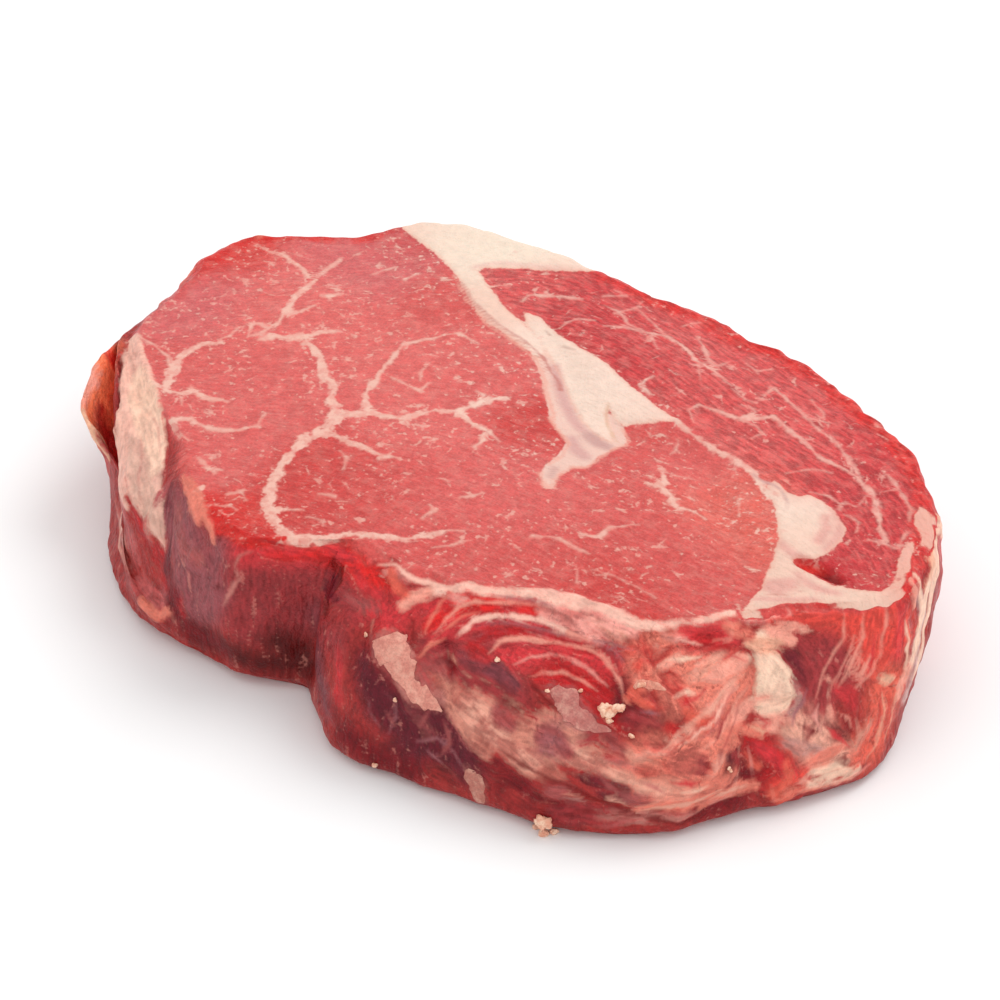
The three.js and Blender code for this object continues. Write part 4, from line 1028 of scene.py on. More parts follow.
    ("grey film", (339, 2.75, 0.6), (341, 2.55, 0.8), (343, 2.3, 0.7)),
    ("oxblood", (345, 1.9, 0.5), (346, 1.9, 0.6), (347, 1.65, 0.4)),
    ("oxblood", (348, 1.4, 0.3), (349, 1.4, 0.4), (350, 1.4, 0.3)),
    ("rose film", (347, 1.4, 0.3), (348, 1.3, 0.4), (350, 1.3, 0.3)),
    ("tan film", (336, 3.7, 0.5), (337, 3.4, 0.6), (337, 3.2, 0.4)),
    ("crimson", (337, 4.1, 0.4), (338, 3.7, 0.5), (337, 3.5, 0.4)),
    ("wine red", (332, 3.15, 0.5), (333, 2.6, 0.7), (332, 2.25, 0.5)),
    ("crimson", (336, 2.8, 0.9), (338, 2.35, 1.2), (339, 2.05, 0.9)),
    ("rose film", (335, 2.75, 0.25), (335, 2.25, 0.35), (335, 1.95, 0.25)),
    ("coral", (339, 2.3, 0.6), (339, 1.8, 0.8), (338, 1.45, 0.7), (337, 1.3, 0.5)),
    ("pale film", (337, 1.65, 0.2), (337, 1.2, 0.25), (338, 1.15, 0.2)),
    ("salmon", (328, 2.3, 0.8), (330, 2.2, 1.2), (332, 2.4, 1)),
    ("crimson", (347, 4.3, 1), (349, 3.9, 1.4), (349, 3.5, 1)),
    ("salmon", (342, 2.2, 1), (344, 2.2, 1.4), (346, 2.3, 1)),
    ("oxblood", (290.4, 5.3, 0.5), (291.2, 5, 0.9), (292, 4.7, 0.8), (292.4, 4.4, 0.4)),
    ("oxblood", (299, 2.2, 1), (302, 2.2, 1.3), (305, 2, 1)),
    ("pale film", (316.3, 2, 0.48), (318.3, 1.95, 0.8), (319.9, 1.85, 0.8), (321.8, 1.85, 0.48)),
    ("dark cleft", (309.7, 1.35, 0.18), (313.1, 1.55, 0.3), (316.8, 1.5, 0.3), (320.4, 1.55, 0.3),
     (322.8, 1.65, 0.18)),
    ("grey film", (310.3, 1.85, 0.3), (312, 1.85, 0.5), (313.1, 1.75, 0.3)),
    ("dull film", (296.6, 1.95, 0.6), (297.7, 1.7, 1.3), (298.4, 1.3, 1.2)),
    ("slab pink", (199.9, 5.2, 0.8), (204.3, 5.1, 1.2), (209.8, 5, 1.2), (215.3, 5.05, 0.8)),
    ("dull film", (206, 2.15, 0.54), (211.6, 2.3, 0.9), (217.7, 3.15, 0.9), (221.1, 3.1, 0.54)),
    ("grey film", (206.8, 2, 0.3), (213.4, 2.4, 0.5), (219.1, 3.15, 0.3)),
    ("salmon", (320, 1.7, 1), (323.3, 1.8, 1.6), (325.2, 1.8, 1.8), (327.5, 1.8, 1.8), (330.2, 1.9, 1.2)),
    ("pale film", (320, 1.7, 0.4), (323, 1.75, 0.6), (327, 1.9, 0.7), (330, 2, 0.5)),
    ("ivory", (2.8, 6.6, 0.6), (2.1, 5.9, 1), (2.1, 5.25, 1), (1.4, 4.75, 0.6)),
    ("peach film", (1.4, 6.9, 0.54), (0.7, 6.2, 0.9), (0, 5.7, 0.54)),
    ("rose film", (310.8, 6.5, 1.1), (313.6, 6.45, 1.8), (316.8, 6.35, 1.8), (319.4, 6.2, 1.1)),
    ("peach film", (312, 6.35, 0.3), (315.2, 6.25, 0.5), (318.9, 6.15, 0.3)),
    ("salmon", (331.9, 3.7, 0.6), (333.2, 3.5, 1), (333.6, 3.1, 0.6)),
    ("crimson", (321.8, 4, 0.78), (322.8, 3.9, 1.3), (324.3, 3.8, 0.78)),
    ("rose film", (341.7, 6.55, 0.6), (343.9, 6.4, 1), (346.5, 6.4, 0.6)),
    ("wine red", (344, 4.2, 1.2), (344.2, 3.8, 1.9), (344, 3.3, 1.2)),
    ("rose film", (272.9, 6.4, 0.48), (275.7, 6.45, 0.8), (278.6, 6.45, 0.48)),
    ("salmon", (338.1, 6.35, 0.72), (339.3, 6.15, 1.2), (340.5, 6, 0.72)),
    ("violet grey", (281, 3.3, 0.3), (283, 3, 0.35), (284, 2.6, 0.3), (283, 2.2, 0.25)),
    ("mauve film", (286, 2.9, 0.6), (288, 2.7, 0.9), (290, 2.4, 0.6)),
    ("violet grey", (288, 2.2, 0.3), (291, 2.4, 0.4), (294, 2.2, 0.35), (296, 1.9, 0.3)),
    ("violet grey", (278, 3, 0.25), (279, 2.6, 0.3), (281, 2.3, 0.25)),
    ("dull rose", (293, 3, 0.25), (295, 2.6, 0.35), (297, 2.4, 0.25)),
    ("peach film", (190.5, 3.2, 0.8), (193, 3.15, 1.6), (195, 3.1, 1.4), (197, 3, 0.8)),
    ("blood", (195, 3.5, 0.6), (197.5, 3.6, 1), (200, 3.7, 0.8)),
    ("slab pink", (203, 4.9, 1), (207, 4.85, 1.5), (212, 4.85, 1.2), (217, 4.95, 0.7)),
    ("slab pink", (208, 2.6, 0.5), (211, 2.4, 0.9), (214, 2.3, 0.6)),
    ("dull film", (314.5, 1.5, 0.5), (318, 1.45, 1), (321, 1.55, 1.1), (324.5, 1.45, 0.9), (327, 1.5, 0.5)),
    ("salmon", (327.5, 1.6, 0.8), (330, 1.8, 1.4), (332.5, 1.85, 1.6), (335, 1.75, 1)),
    ("pale film", (329, 1.75, 0.5), (331.5, 1.85, 0.7), (334, 1.8, 0.5)),
    ("salmon", (339, 1.35, 0.6), (341, 1.3, 1), (343, 1.3, 0.7)),
    ("ivory", (4.5, 5.6, 0.8), (2.5, 5.3, 1.5), (1, 4.9, 1.6), (359.5, 4.4, 1.3), (357.5, 3.8, 0.8)),
    ("peach film", (357, 3.7, 0.8), (356, 3.3, 1.2), (355.5, 2.8, 0.8)),
    ("wine red", (346.5, 4.4, 0.8), (345.5, 4.1, 1.7), (345, 3.7, 1.5), (344.5, 3.4, 0.8)),
    ("wine red", (343, 3.2, 0.8), (342.5, 2.95, 1.3), (342, 2.7, 0.8)),
    ("wine red", (297, 4.75, 0.8), (299, 4.6, 1.3), (301, 4.5, 0.8)),
    ("blood", (295.5, 5.5, 0.6), (297, 5.45, 1.1), (298.8, 5.4, 0.7)),
    ("rose film", (290, 6.35, 0.5), (291.8, 6.3, 0.9), (294, 6.35, 0.5)),
    ("crimson", (256.5, 6.45, 0.8), (259.3, 6.35, 1.5), (262, 6.35, 1)),
    ("peach film", (344.8, 5.95, 0.6), (346.2, 5.85, 1.1), (347.4, 5.75, 0.7)),
    ("brick", (319.6, 2.8, 0.8), (321, 2.75, 1.4), (322.6, 2.75, 0.8)),
    # painted shade near the foot
    ("umber", (290.8, 1.5, 0.8), (292.4, 1.45, 1.3), (294, 1.4, 0.8)),
    ("salmon", (288.4, 5.45, 0.25), (290.6, 5.72, 0.4), (293, 5.98, 0.4), (297, 6.18, 0.3)),
    ("wine red", (303.4, 4.15, 0.3), (304.6, 4, 0.45), (305.8, 3.85, 0.3)),
    ("ivory", (12, 6, 0.8), (8.5, 5.6, 1.6), (6, 5, 1.9), (4, 4.4, 1.9), (1.5, 3.7, 1.4),
     (358.5, 3.1, 0.8)),
    ("ivory", (342, 1.5, 0.4), (344.5, 1.5, 0.9), (348, 1.5, 0.6)),
    ("dull rose", (286.2, 4.6, 0.7), (287.2, 4.3, 1.3), (288.4, 4.05, 0.8)),
    ("coral", (327.8, 4.8, 0.6), (328.9, 4.6, 1), (330, 4.4, 0.6)),
    ("wine red", (325, 2.85, 0.8), (326.4, 2.7, 1.2), (327.6, 2.6, 0.7)),
    ("brick", (308, 4.75, 0.7), (309.2, 4.65, 1.1), (310.4, 4.5, 0.7)),
    ("salmon", (334.6, 3.7, 0.5), (335.4, 3.5, 0.9), (336, 3.2, 0.5)),
    ("coral", (334.2, 2.6, 0.5), (335, 2.4, 0.9), (335.8, 2.2, 0.5)),
    ("dull rose", (316, 3.05, 0.6), (317.4, 2.95, 1), (318.8, 2.85, 0.6)),
    ("oxblood", (231.4, 4.9, 0.7), (232.4, 4.5, 1.2), (233.2, 4.1, 0.8)),
    ("dull rose", (219.8, 6, 0.4), (220.8, 5.75, 0.8), (221.8, 5.5, 0.5)),
    ("coral", (273.8, 6.45, 0.6), (275.2, 6.3, 1.1), (277.6, 6.15, 1), (279.4, 6.1, 0.6)),
    ("slab pink", (205.2, 5, 0.5), (206, 4.7, 0.9), (207, 4.4, 0.6)),
    ("dull film", (212.5, 2.6, 0.7), (216, 2.4, 0.9), (220, 2.5, 0.6)),
    ("dull film", (221.8, 5.2, 0.5), (222.8, 5, 0.9), (224, 4.8, 0.5)),
    ("salmon", (221.5, 6.5, 0.7), (224.5, 6.45, 1.1), (228, 6.45, 1.2), (231.5, 6.35, 1), (234, 6.2, 0.5)),
    ("oxblood", (322.2, 4.25, 0.5), (323, 4.1, 0.9), (324, 4, 0.5)),
    ("blood", (325, 4.4, 0.5), (325.8, 4.25, 0.8), (326.6, 4.1, 0.5)),
    ("salmon", (335.6, 3.6, 0.5), (336.3, 3.35, 0.8), (336.8, 3.1, 0.5)),
    ("salmon", (331.3, 3.4, 0.5), (332, 3.2, 0.9), (332.6, 3, 0.5)),
    ("mauve film", (301.2, 3.95, 0.6), (302, 3.8, 1.1), (303, 3.6, 0.6)),
    ("mauve", (225, 5.6, 0.4), (226, 5.4, 0.9), (227, 5.1, 0.5)),
    ("rose film", (329.4, 6.35, 0.4), (330.6, 6.3, 0.8), (332, 6.25, 0.4)),
    ("rose film", (313, 6.45, 0.4), (315.2, 6.4, 0.9), (317.5, 6.35, 0.5)),
    ("pale film", (212, 2.2, 0.5), (215, 2.3, 0.8), (218.5, 2.4, 0.5)),
    ("rose film", (342.4, 6.5, 0.4), (344, 6.45, 0.9), (345.4, 6.4, 0.5)),
    ("mauve film", (317.8, 2.2, 0.6), (319.2, 2.1, 1.1), (320.6, 2.1, 0.6)),
    ("coral", (321.4, 5.3, 0.6), (322.4, 5.15, 1), (323.4, 5, 0.6)),
]
SKIN_STEP = 3          # strokes are followed over the curved side in steps about this long
SKIN_REACH = 3.5
THREAD_HALF_WIDTH = 0.75    # strokes thinner than this are kept as lines, a little slimmer than drawn
THREAD_SLIMMING = 0.75
THREAD_END = 0.4       # and their two ends run out to this share of their width
TORN_LUMP = 4
TORN_SHIFT = 0.5
GROUND_REACH = 6
GROUND_SOFTNESS = 2.5


def followed(places):
    """A stroke's places as points on the side: x, y, z, half width"""
    places = np.array(places, float)
    places[:, 0] = np.degrees(np.unwrap(np.radians(places[:, 0])))
    corners = side_points(places[:, 0], places[:, 1])
    lengths = np.linalg.norm(np.diff(corners, axis=0), axis=1)
    path = [places[:1]]
    for start, end, length in zip(places[:-1], places[1:], lengths):
        steps = max(1, math.ceil(length / SKIN_STEP))
        path.append(start + (end - start) * np.arange(1, steps + 1)[:, None] / steps)
    path = np.concatenate(path)
    return np.column_stack([side_points(path[:, 0], path[:, 1]), path[:, 2]])


torn = smooth_points + lumpy_shift(points, TORN_LUMP, TORN_SHIFT, seed=21)
skin = np.tile(linear(SKIN_COLOUR["brick"][0], SIDE_LIGHT), (len(points), 1))
for name, *places in GROUND:
    margin, _ = stroke_margin(torn, followed(places), GROUND_REACH)
    cover = 1 - ramp(margin, -GROUND_SOFTNESS, GROUND_SOFTNESS)
    lay_over(skin, linear(SKIN_COLOUR[name][0], SIDE_LIGHT), cover[:, None])

# The back of the side carries the same kinds of film, laid at random: the ranges of their sizes, and
# the shape of each in parts of its lean, its rise and its half width
BACK_STROKES = 60
BACK_NAMES = ("dull rose", "mauve film", "crimson", "blood", "brick", "rosewood", "dull film", "salmon")
BACK_BEARINGS = [(18, 86), (146, 174)]
BACK_LEAN = (-0.8, 0.8)
BACK_LEVEL = (0.6, 5)
BACK_RISE = (0.6, 2.5)
BACK_HALF_WIDTH = (0.5, 2)
BACK_SHAPE = [(0, 0, 0.5), (4, 0.5, 1), (9, 1, 0.4)]
back_strokes = []
for _ in range(BACK_STROKES):
    start = random.choice([random.uniform(*span) for span in BACK_BEARINGS])
    lean = random.uniform(*BACK_LEAN)
    low = random.uniform(*BACK_LEVEL)
    rise = random.uniform(*BACK_RISE)
    half = random.uniform(*BACK_HALF_WIDTH)
    name = BACK_NAMES[random.integers(len(BACK_NAMES))]
    places = [(start + along * lean, low + up * rise, share * half) for along, up, share in BACK_SHAPE]
    back_strokes.append((name, *places))

# Every layer keeps for each corner how far it is from the layer's edge, its colour, and its height
# as a fourth number: FLAT is level, and HEIGHT_RANGE millimetres are worth 1
# The first layer, cleft, is painted shade: the near-black red laid in the sunk clefts
SKIN_LAYERS = ("cleft", "muscle", "film", "skin_fat")
FLAT = 0.5
HEIGHT_RANGE = 4
COLOUR_EDGE = (0.1, 1.3)
HEIGHT_EDGE = (-0.3, 0.5)
FIBRE_EDGE = (-0.5, 2)
ON_END = 0.3           # how far the fibres of bare muscle stand on end
layer_margin = np.full((len(SKIN_LAYERS), len(points)), float(SKIN_REACH))
layer_colour = np.tile(
    [*linear(SKIN_COLOUR["film"][0], SIDE_LIGHT), FLAT], (len(SKIN_LAYERS), len(points), 1))
thread_lines = [
    np.array([(x, y, cut_height(x, y), half) for x, y, half in path], float)
    for name, *path in FINE_TOUCHES]
thread_paints = [np.array([*linear(TOUCH_COLOUR[name]), FLAT]) for name, *path in FINE_TOUCHES]
skin_relief = np.zeros(len(points))
skin_flow = np.zeros(points.shape)
skin_flow[:, 2] = ON_END
for name, *places in back_strokes + SKIN:
    colour, layer, height = SKIN_COLOUR[name]
    paint = np.array([*linear(colour, SIDE_LIGHT), FLAT + height / HEIGHT_RANGE])
    if max(place[2] for place in places) < THREAD_HALF_WIDTH:
        line = followed(places)
        line[:, 3] *= THREAD_SLIMMING
        line[[0, -1], 3] *= THREAD_END
        thread_lines.append(line)
        thread_paints.append(paint)
        continue
    margin, way = stroke_margin(torn, followed(places), SKIN_REACH)
    layer_margin[layer] = np.minimum(layer_margin[layer], margin)
    layer_margin[layer + 1:] = np.maximum(layer_margin[layer + 1:], -margin)
    lay_over(layer_colour[layer], paint, (1 - ramp(margin, *COLOUR_EDGE))[:, None])
    lay_over(skin_relief, height, 1 - ramp(margin, *HEIGHT_EDGE))
    same_sense = np.where(np.einsum("ij,ij->i", way, skin_flow) < 0, -1.0, 1.0)[:, None]
    lay_over(skin_flow, same_sense * way, (1 - ramp(margin, *FIBRE_EDGE))[:, None])

thread_field = nearest_line(torn, smooth_normals, thread_lines)
thread_colour = np.tile(thread_paints[0], (len(points), 1))
nearest = np.full(len(points), float(SKIN_REACH))
for line, paint in zip(thread_lines, thread_paints):
    margin, _ = stroke_margin(torn, line, SKIN_REACH)
    thread_colour[margin < nearest] = paint
    nearest = np.minimum(nearest, margin)

# Fat that comes out on the back covers the films there, and the cut faces and the underside have
# none. Over the rest a margin is never less than DEEPEST.
FAT_START = (-1, 0)
FILM_END = (0.8, 2.5)
DEEPEST = -1
bare = on_under + (1 - own_skin) * ramp(fat, *FAT_START) + on_cut * ramp(from_edge, *FILM_END)
bare_share = np.clip(bare, 0, 1)
layer_margin = np.maximum(layer_margin, SKIN_REACH * bare_share + DEEPEST)
layer_margin[0] = np.where(bare > 0.5, SKIN_REACH, layer_margin[0])
skin_relief *= 1 - bare_share
lay_over(tint, skin, own_skin[:, None])

# How much each corner belongs to the wall of the slice and not to its two flat faces
WALL_DEPTH = 1.5
wall_share = ramp(depth, 0, WALL_DEPTH) * (1 - on_under)
lay_over(flow, skin_flow, wall_share[:, None])
flow /= np.linalg.norm(flow, axis=1, keepdims=True) + TINY

# ----------------------------------------
# Relief: the muscles stand a little proud of the cut face, the seam is sunk, and the side is
# creased where the slice folded under its own weight. Small lumps and cords cover all of it.

# Muscles: middle, half sizes, height
MUSCLES = [(-32, 22, 34, 26, 1), (12, -12, 42, 22, 1.2), (22, 36, 44, 12, 1), (62, -8, 14, 16, 0.8)]
SEAM = [(-28, 66), (-12, 34), (8, 14), (34, 12), (50, -6), (64, -22)]
SEAM_REACH = 20
SEAM_HALF_WIDTH = 4
SEAM_DEPTH = 1
PIT_DEPTH = 0.9
PIT_EDGE = (-0.3, 0.9)
FAT_RISE = 0.25        # fat stands this share of a millimetre over the lean
FAT_SLOPE = (-0.5, 1)
VEIN_RISE = 0.12
VEIN_SPREAD = 0.8
RELIEF_FADE = 0.35     # the low domes and the seam fade out over this share of the way in
CUT_FADE = 1.5         # the fine relief of the cut face is full this far in from its edge
# Creases of the side: bearing, height, half sizes, depth
CREASES = [
    (257, 15, 4, 15, 3), (274, 22, 2.5, 7, 2), (291.5, 21, 2, 5, 1.5), (302, 20, 15, 2.2, 1.6),
    (335, 15, 3, 12, 1.8), (318, 6, 14, 2.4, 1.8), (225, 18, 3.5, 9, 1), (317.5, 2.5, 6, 4, 1.4),
    (344, 2.5, 4, 4, 1), (328, 2.5, 4, 4, 0.9),
]
# Lumps: height, size, seed
SIDE_LUMPS = [(0.5, 7, 41), (0.35, 3, 42), (0.2, 1.5, 43)]
CUT_LUMPS = [(0.18, 4, 44), (0.1, 1.6, 46)]
EDGE_LUMPS = [(0.5, 3.4, 47), (0.3, 1.8, 48)]
EDGE_SPREAD = 2.5
FOOT_CLEAR = 5         # the outline stays smooth below this height
SIDE_TOP = (-2, 3)     # lumps grow over these depths below the cut
SIDE_FOOT = (0, 2)     # and over these heights above the table
FILM_FOOT = (0, 1.5)

rise = np.zeros(len(points))
for x, y, half_x, half_y, height in MUSCLES:
    rise += height * bell(np.hypot((points[:, 0] - x) / half_x, (points[:, 1] - y) / half_y))
seam_line = flat_line([(x, y, 0) for x, y in SEAM])
seam_margin, _ = stroke_margin(points * [1, 1, 0], seam_line, SEAM_REACH)
rise -= SEAM_DEPTH * bell(seam_margin / SEAM_HALF_WIDTH)
rise *= on_cut * ramp(1 - outs, 0, RELIEF_FADE)
inner_cut = on_cut * ramp(from_edge, 0, CUT_FADE)
rise += FAT_RISE * inner_cut * np.clip(fat, *FAT_SLOPE)
for name, margin in touches:
    if name.startswith("pit"):
        rise -= PIT_DEPTH * inner_cut * (1 - ramp(margin, *PIT_EDGE))
rise += VEIN_RISE * inner_cut * bell(vein_field[:, 1] / VEIN_SPREAD)

press = np.zeros(len(points))
for at, height, across, up, deep in CREASES:
    press += deep * bell(np.hypot(turned_from(at) / across, (points[:, 2] - height) / up))
press *= on_side

swell = unevenness(points, SIDE_LUMPS) * (1 - on_cut)
swell *= ramp(depth, *SIDE_TOP) * ramp(points[:, 2], *SIDE_FOOT)
swell += inner_cut * unevenness(points, CUT_LUMPS)
swell += skin_relief * ramp(points[:, 2], *FILM_FOOT)
edge_shift = unevenness(points, EDGE_LUMPS) * bell(from_edge / EDGE_SPREAD) * (points[:, 2] > FOOT_CLEAR)

outward = np.column_stack([np.cos(np.radians(bearings)), np.sin(np.radians(bearings)), 0 * bearings])
points = smooth_points + smooth_normals * swell[:, None] + outward * (edge_shift - press)[:, None]
points[:, 2] += rise
points[:, 2] = np.where(smooth_points[:, 2] <= 0, smooth_points[:, 2], points[:, 2])

low, high = (np.array(corner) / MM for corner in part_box("steak"))
lumpy_low = points.min(0)
stretch = (high - low) / np.ptp(points, axis=0)


def settled(places):
    """Moves points of the slice to where the slice lies on the table"""
    return low + (places - lumpy_low) * stretch


points = settled(points)

# ----------------------------------------
# The slice put together: one closed mesh of the whole piece of meat. Every corner keeps the
# colours and distances worked out above, and the material reads them and frays their edges.


def made_piece(name, places, faces):
    """A smooth piece from corners in millimetres and its faces"""
    mesh = bpy.data.meshes.new(name)
    mesh.from_pydata((np.asarray(places) * MM).tolist(), [], faces)
    mesh.shade_smooth()
    piece = bpy.data.objects.new(name, mesh)
    bpy.context.scene.collection.objects.link(piece)
    return piece


def store(piece, name, values):
    """Keeps a number, a way or a colour for each corner of the piece, for its material to read"""
    kind, field = ("FLOAT", "value") if values.ndim == 1 else ("FLOAT_VECTOR", "vector")
    if name.endswith("tint"):
        kind, field = "FLOAT_COLOR", "color"
        if values.shape[1] == 3:
            values = np.column_stack([np.clip(values, 0, 1), np.ones(len(values))])
    layer = piece.data.attributes.new(name, kind, "POINT")
    layer.data.foreach_set(field, np.ascontiguousarray(values, np.float32).ravel())


steak = made_piece("steak_meat", points, quads.tolist() + gussets.tolist())
looks = {
    "tint": tint, "fat_tint": fat_tint, "sleeve_tint": sleeve_tint, "fat": fat, "sleeve": sleeve,
    "thread": thread_field, "thread_tint": thread_colour, "in_cap": in_cap, "wall": wall_share,
    "vein": vein_field, "twig": twig_field, "flow": flow,
}
for name, values in looks.items():
    store(steak, name, values)
for name, margin, colour in zip(SKIN_LAYERS, layer_margin, layer_colour):
    store(steak, name, margin)
    store(steak, name + "_tint", colour)


def node(kind, *sources, **settings):
    """Adds a node to the material in hand, sets it up, and feeds its inputs in order"""
    added = nodes.new("ShaderNode" + kind)
    for name, value in settings.items():
        setattr(added, name, value)
    for socket, source in zip([s for s in added.inputs if s.enabled], sources):
        if isinstance(source, bpy.types.NodeSocket):
            links.new(source, socket)
        else:
            socket.default_value = source
    return [s for s in added.outputs if s.enabled][0]


def plus(first, second):
    return node("Math", first, second, operation="ADD")


def minus(first, second):
    return node("Math", first, second, operation="SUBTRACT")


def times(first, second):
    return node("Math", first, second, operation="MULTIPLY")


def times_plus(first, second, third):
    return node("Math", first, second, third, operation="MULTIPLY_ADD")


def larger(first, second):
    return node("Math", first, second, operation="MAXIMUM")


def mixed(share, first, second, kind="RGBA"):
    """Goes from the first to the second; the kind is RGBA for colours and FLOAT for numbers"""
    return node("Mix", share, first, second, data_type=kind)


def lit(colour, light):
    return node("VectorMath", colour, light, operation="SCALE")


def centred(value):
    """A noise from 0 to 1 moved to lie about 0"""
    return minus(value, 0.5)


def painted(colour, light=SIDE_LIGHT):
    return (*linear(colour, light), 1)


def smooth_step(value, low, high, start=0.0, end=1.0):
    return node("MapRange", value, low, high, start, end, interpolation_type="SMOOTHSTEP")


def attribute(name, output="Fac"):
    added = nodes.new("ShaderNodeAttribute")
    added.attribute_name = name
    return added.outputs[output]


def noise(position, scale, detail=2.0, roughness=0.5):
    return node("TexNoise", position, scale, detail, roughness)


def drawn_out(position, way, scale, step, count=5, detail=2.0):
    """Noise drawn out along the fibres: the mean of a few samples taken along their way"""
    total = None
    for place in range(count):
        by = (place - (count - 1) / 2) * step
        moved = node("VectorMath", way, (by, by, by), position, operation="MULTIPLY_ADD")
        sample = noise(moved, scale, detail)
        total = sample if total is None else plus(total, sample)
    return times(total, 1 / count)


def line_cover(name, wiggle, softness, past_end, fraying, thinnest, thickest):
    """Share of a point that is covered by the lines kept under that name"""
    parts = nodes.new("ShaderNodeSeparateXYZ")
    links.new(attribute(name, "Vector"), parts.inputs[0])
    across, distance, half_width = parts.outputs
    aside = node("Math", times_plus(line_drift, wiggle, across), operation="ABSOLUTE")
    gap = larger(aside, minus(distance, past_end))
    swell = smooth_step(line_swell, *SWELL_STEP, thinnest, thickest)
    width = times_plus(half_width, swell, times(line_fray, fraying))
    cover = smooth_step(minus(width, gap), -softness, softness)
    return times(cover, smooth_step(half_width, *FAINT_STEP))


def new_material(name, piece):
    """A new material on the piece: its nodes, its links and its shader"""
    material = bpy.data.materials.new(name)
    material.use_nodes = True
    piece.data.materials.append(material)
    return material.node_tree.nodes, material.node_tree.links, material.node_tree.nodes["Principled BSDF"]


def millimetres():
    """Where a point of the piece is, in millimetres"""
    metres = nodes.new("ShaderNodeTexCoord").outputs["Object"]
    return node("VectorMath", metres, (1 / MM, 1 / MM, 1 / MM), operation="MULTIPLY")


def finish_surface(colour, roughness, height, bump_strength, bump_distance, plain):
    """Joins what the nodes have worked out to the shader, and sets its plain numbers"""
    bump = nodes.new("ShaderNodeBump")
    bump.inputs["Strength"].default_value = bump_strength
    bump.inputs["Distance"].default_value = bump_distance * MM
    links.new(height, bump.inputs["Height"])
    links.new(bump.outputs["Normal"], shader.inputs["Normal"])
    links.new(colour, shader.inputs["Base Color"])
    links.new(roughness, shader.inputs["Roughness"])
    for name, value in plain.items():
        shader.inputs[name].default_value = value


# In all that follows a noise is (lumps to a millimetre, fineness, roughness), one drawn out along
# the fibres is (lumps to a millimetre, step, samples, fineness), and a step is (from, to, value
# before, value after)
nodes, links, shader = new_material("raw_meat", steak)
place = millimetres()
way = attribute("flow", "Vector")
wall = attribute("wall")
cut = minus(1.0, wall)
cap = times(cut, attribute("in_cap"))
fat_paint = attribute("fat_tint", "Color")

# Lean: fine fibres end-on, drawn out in short streaks, over pinker and deeper cells
STREAKS = (1.3, 0.4)
CELLS = (0.55, 3.0, 0.6)
GRAIN = (2.2, 2.0)
STREAK_STEP = (0.42, 0.58, -1.0, 1.0)
SPECKLE_STEP = (0.35, 0.65, -1.0, 1.0)
LEAN_LIGHT = 0.96
EYE_STREAKS = 0.035    # the streaks of the eye muscle are this much lighter and darker,
CAP_STREAKS = 0.19     # those of the cap this much,
SIDE_STREAKS = 0.8     # and those of the side this share of the way from the first to the second
CELL_DEPTH = 0.07
GRAIN_DEPTH = 0.055
streaks = drawn_out(place, way, *STREAKS)
cells = noise(place, *CELLS)
grain = noise(place, *GRAIN)
streak_light = smooth_step(streaks, *STREAK_STEP)
cell_light = smooth_step(cells, *SPECKLE_STEP)
grain_light = smooth_step(grain, *SPECKLE_STEP)
coarse = larger(cap, times(wall, SIDE_STREAKS))
streak_depth = node("MapRange", coarse, 0.0, 1.0, EYE_STREAKS, CAP_STREAKS)
light = times_plus(streak_light, streak_depth, LEAN_LIGHT)
light = times_plus(cell_light, CELL_DEPTH, light)
light = times_plus(grain_light, GRAIN_DEPTH, light)
colour = lit(attribute("tint", "Color"), light)

# A pale haze of very fine fat
HAZE = (0.42, 3.0, 0.65)
HAZE_STEP = (0.45, 0.6, 0.0, 0.11)
HAZE_OF_NOISE = 0.6
HAZE_OF_STREAKS = 0.4
haze_field = plus(times(noise(place, *HAZE), HAZE_OF_NOISE), times(streaks, HAZE_OF_STREAKS))
colour = mixed(times(smooth_step(haze_field, *HAZE_STEP), cut), colour, fat_paint)

# Small flecks of fat between the fibres, long ones in the cap and dots in the eye, more in places
FLECKS = (0.85, 1.0, 0.6)
DOTS = (0.5, 2.5, 0.65)
CLUSTERS = (0.09, 2.0)
FLECK_STEP = (0.56, 0.69, 0.0, 0.55)
DOT_STEP = (0.61, 0.72, 0.0, 0.6)
CLUSTER_STEP = (0.38, 0.62, 0.06, 0.0)
EYE_LENGTHENING = 0.2
CAP_LENGTHENING = 0.6
lengthening = node("MapRange", cap, 0.0, 1.0, EYE_LENGTHENING, CAP_LENGTHENING)
fleck_field = mixed(lengthening, noise(place, *FLECKS), streaks, "FLOAT")
cluster = smooth_step(noise(place, *CLUSTERS), *CLUSTER_STEP)
fleck = smooth_step(minus(fleck_field, cluster), *FLECK_STEP)
dot = smooth_step(minus(noise(place, *DOTS), cluster), *DOT_STEP)
colour = mixed(times(larger(fleck, dot), cut), colour, fat_paint)

# Tissue and solid fat of the cut faces, with wandering edges, and the fat redder near its edge
EDGE_WANDER = (0.7, 3.0)
EDGE_REACH = 1.2
EDGE_STEP = (-0.25, 0.25)
FAT_SHADE = 0.035
RED_EDGE = (243, 182, 162)
RED_EDGE_STEP = (0.0, 1.0, 0.5, 0.0)
edge_wander = times(centred(noise(place, *EDGE_WANDER)), EDGE_REACH)
sleeve_depth = plus(attribute("sleeve"), edge_wander)
colour = mixed(smooth_step(sleeve_depth, *EDGE_STEP), colour, attribute("sleeve_tint", "Color"))
fat_depth = plus(attribute("fat"), edge_wander)
fat_colour = lit(fat_paint, times_plus(cell_light, FAT_SHADE, 1.0))
fat_colour = mixed(smooth_step(fat_depth, *RED_EDGE_STEP), fat_colour, painted(RED_EDGE, CUT_LIGHT))
fat_cover = smooth_step(fat_depth, *EDGE_STEP)
colour = mixed(fat_cover, colour, fat_colour)

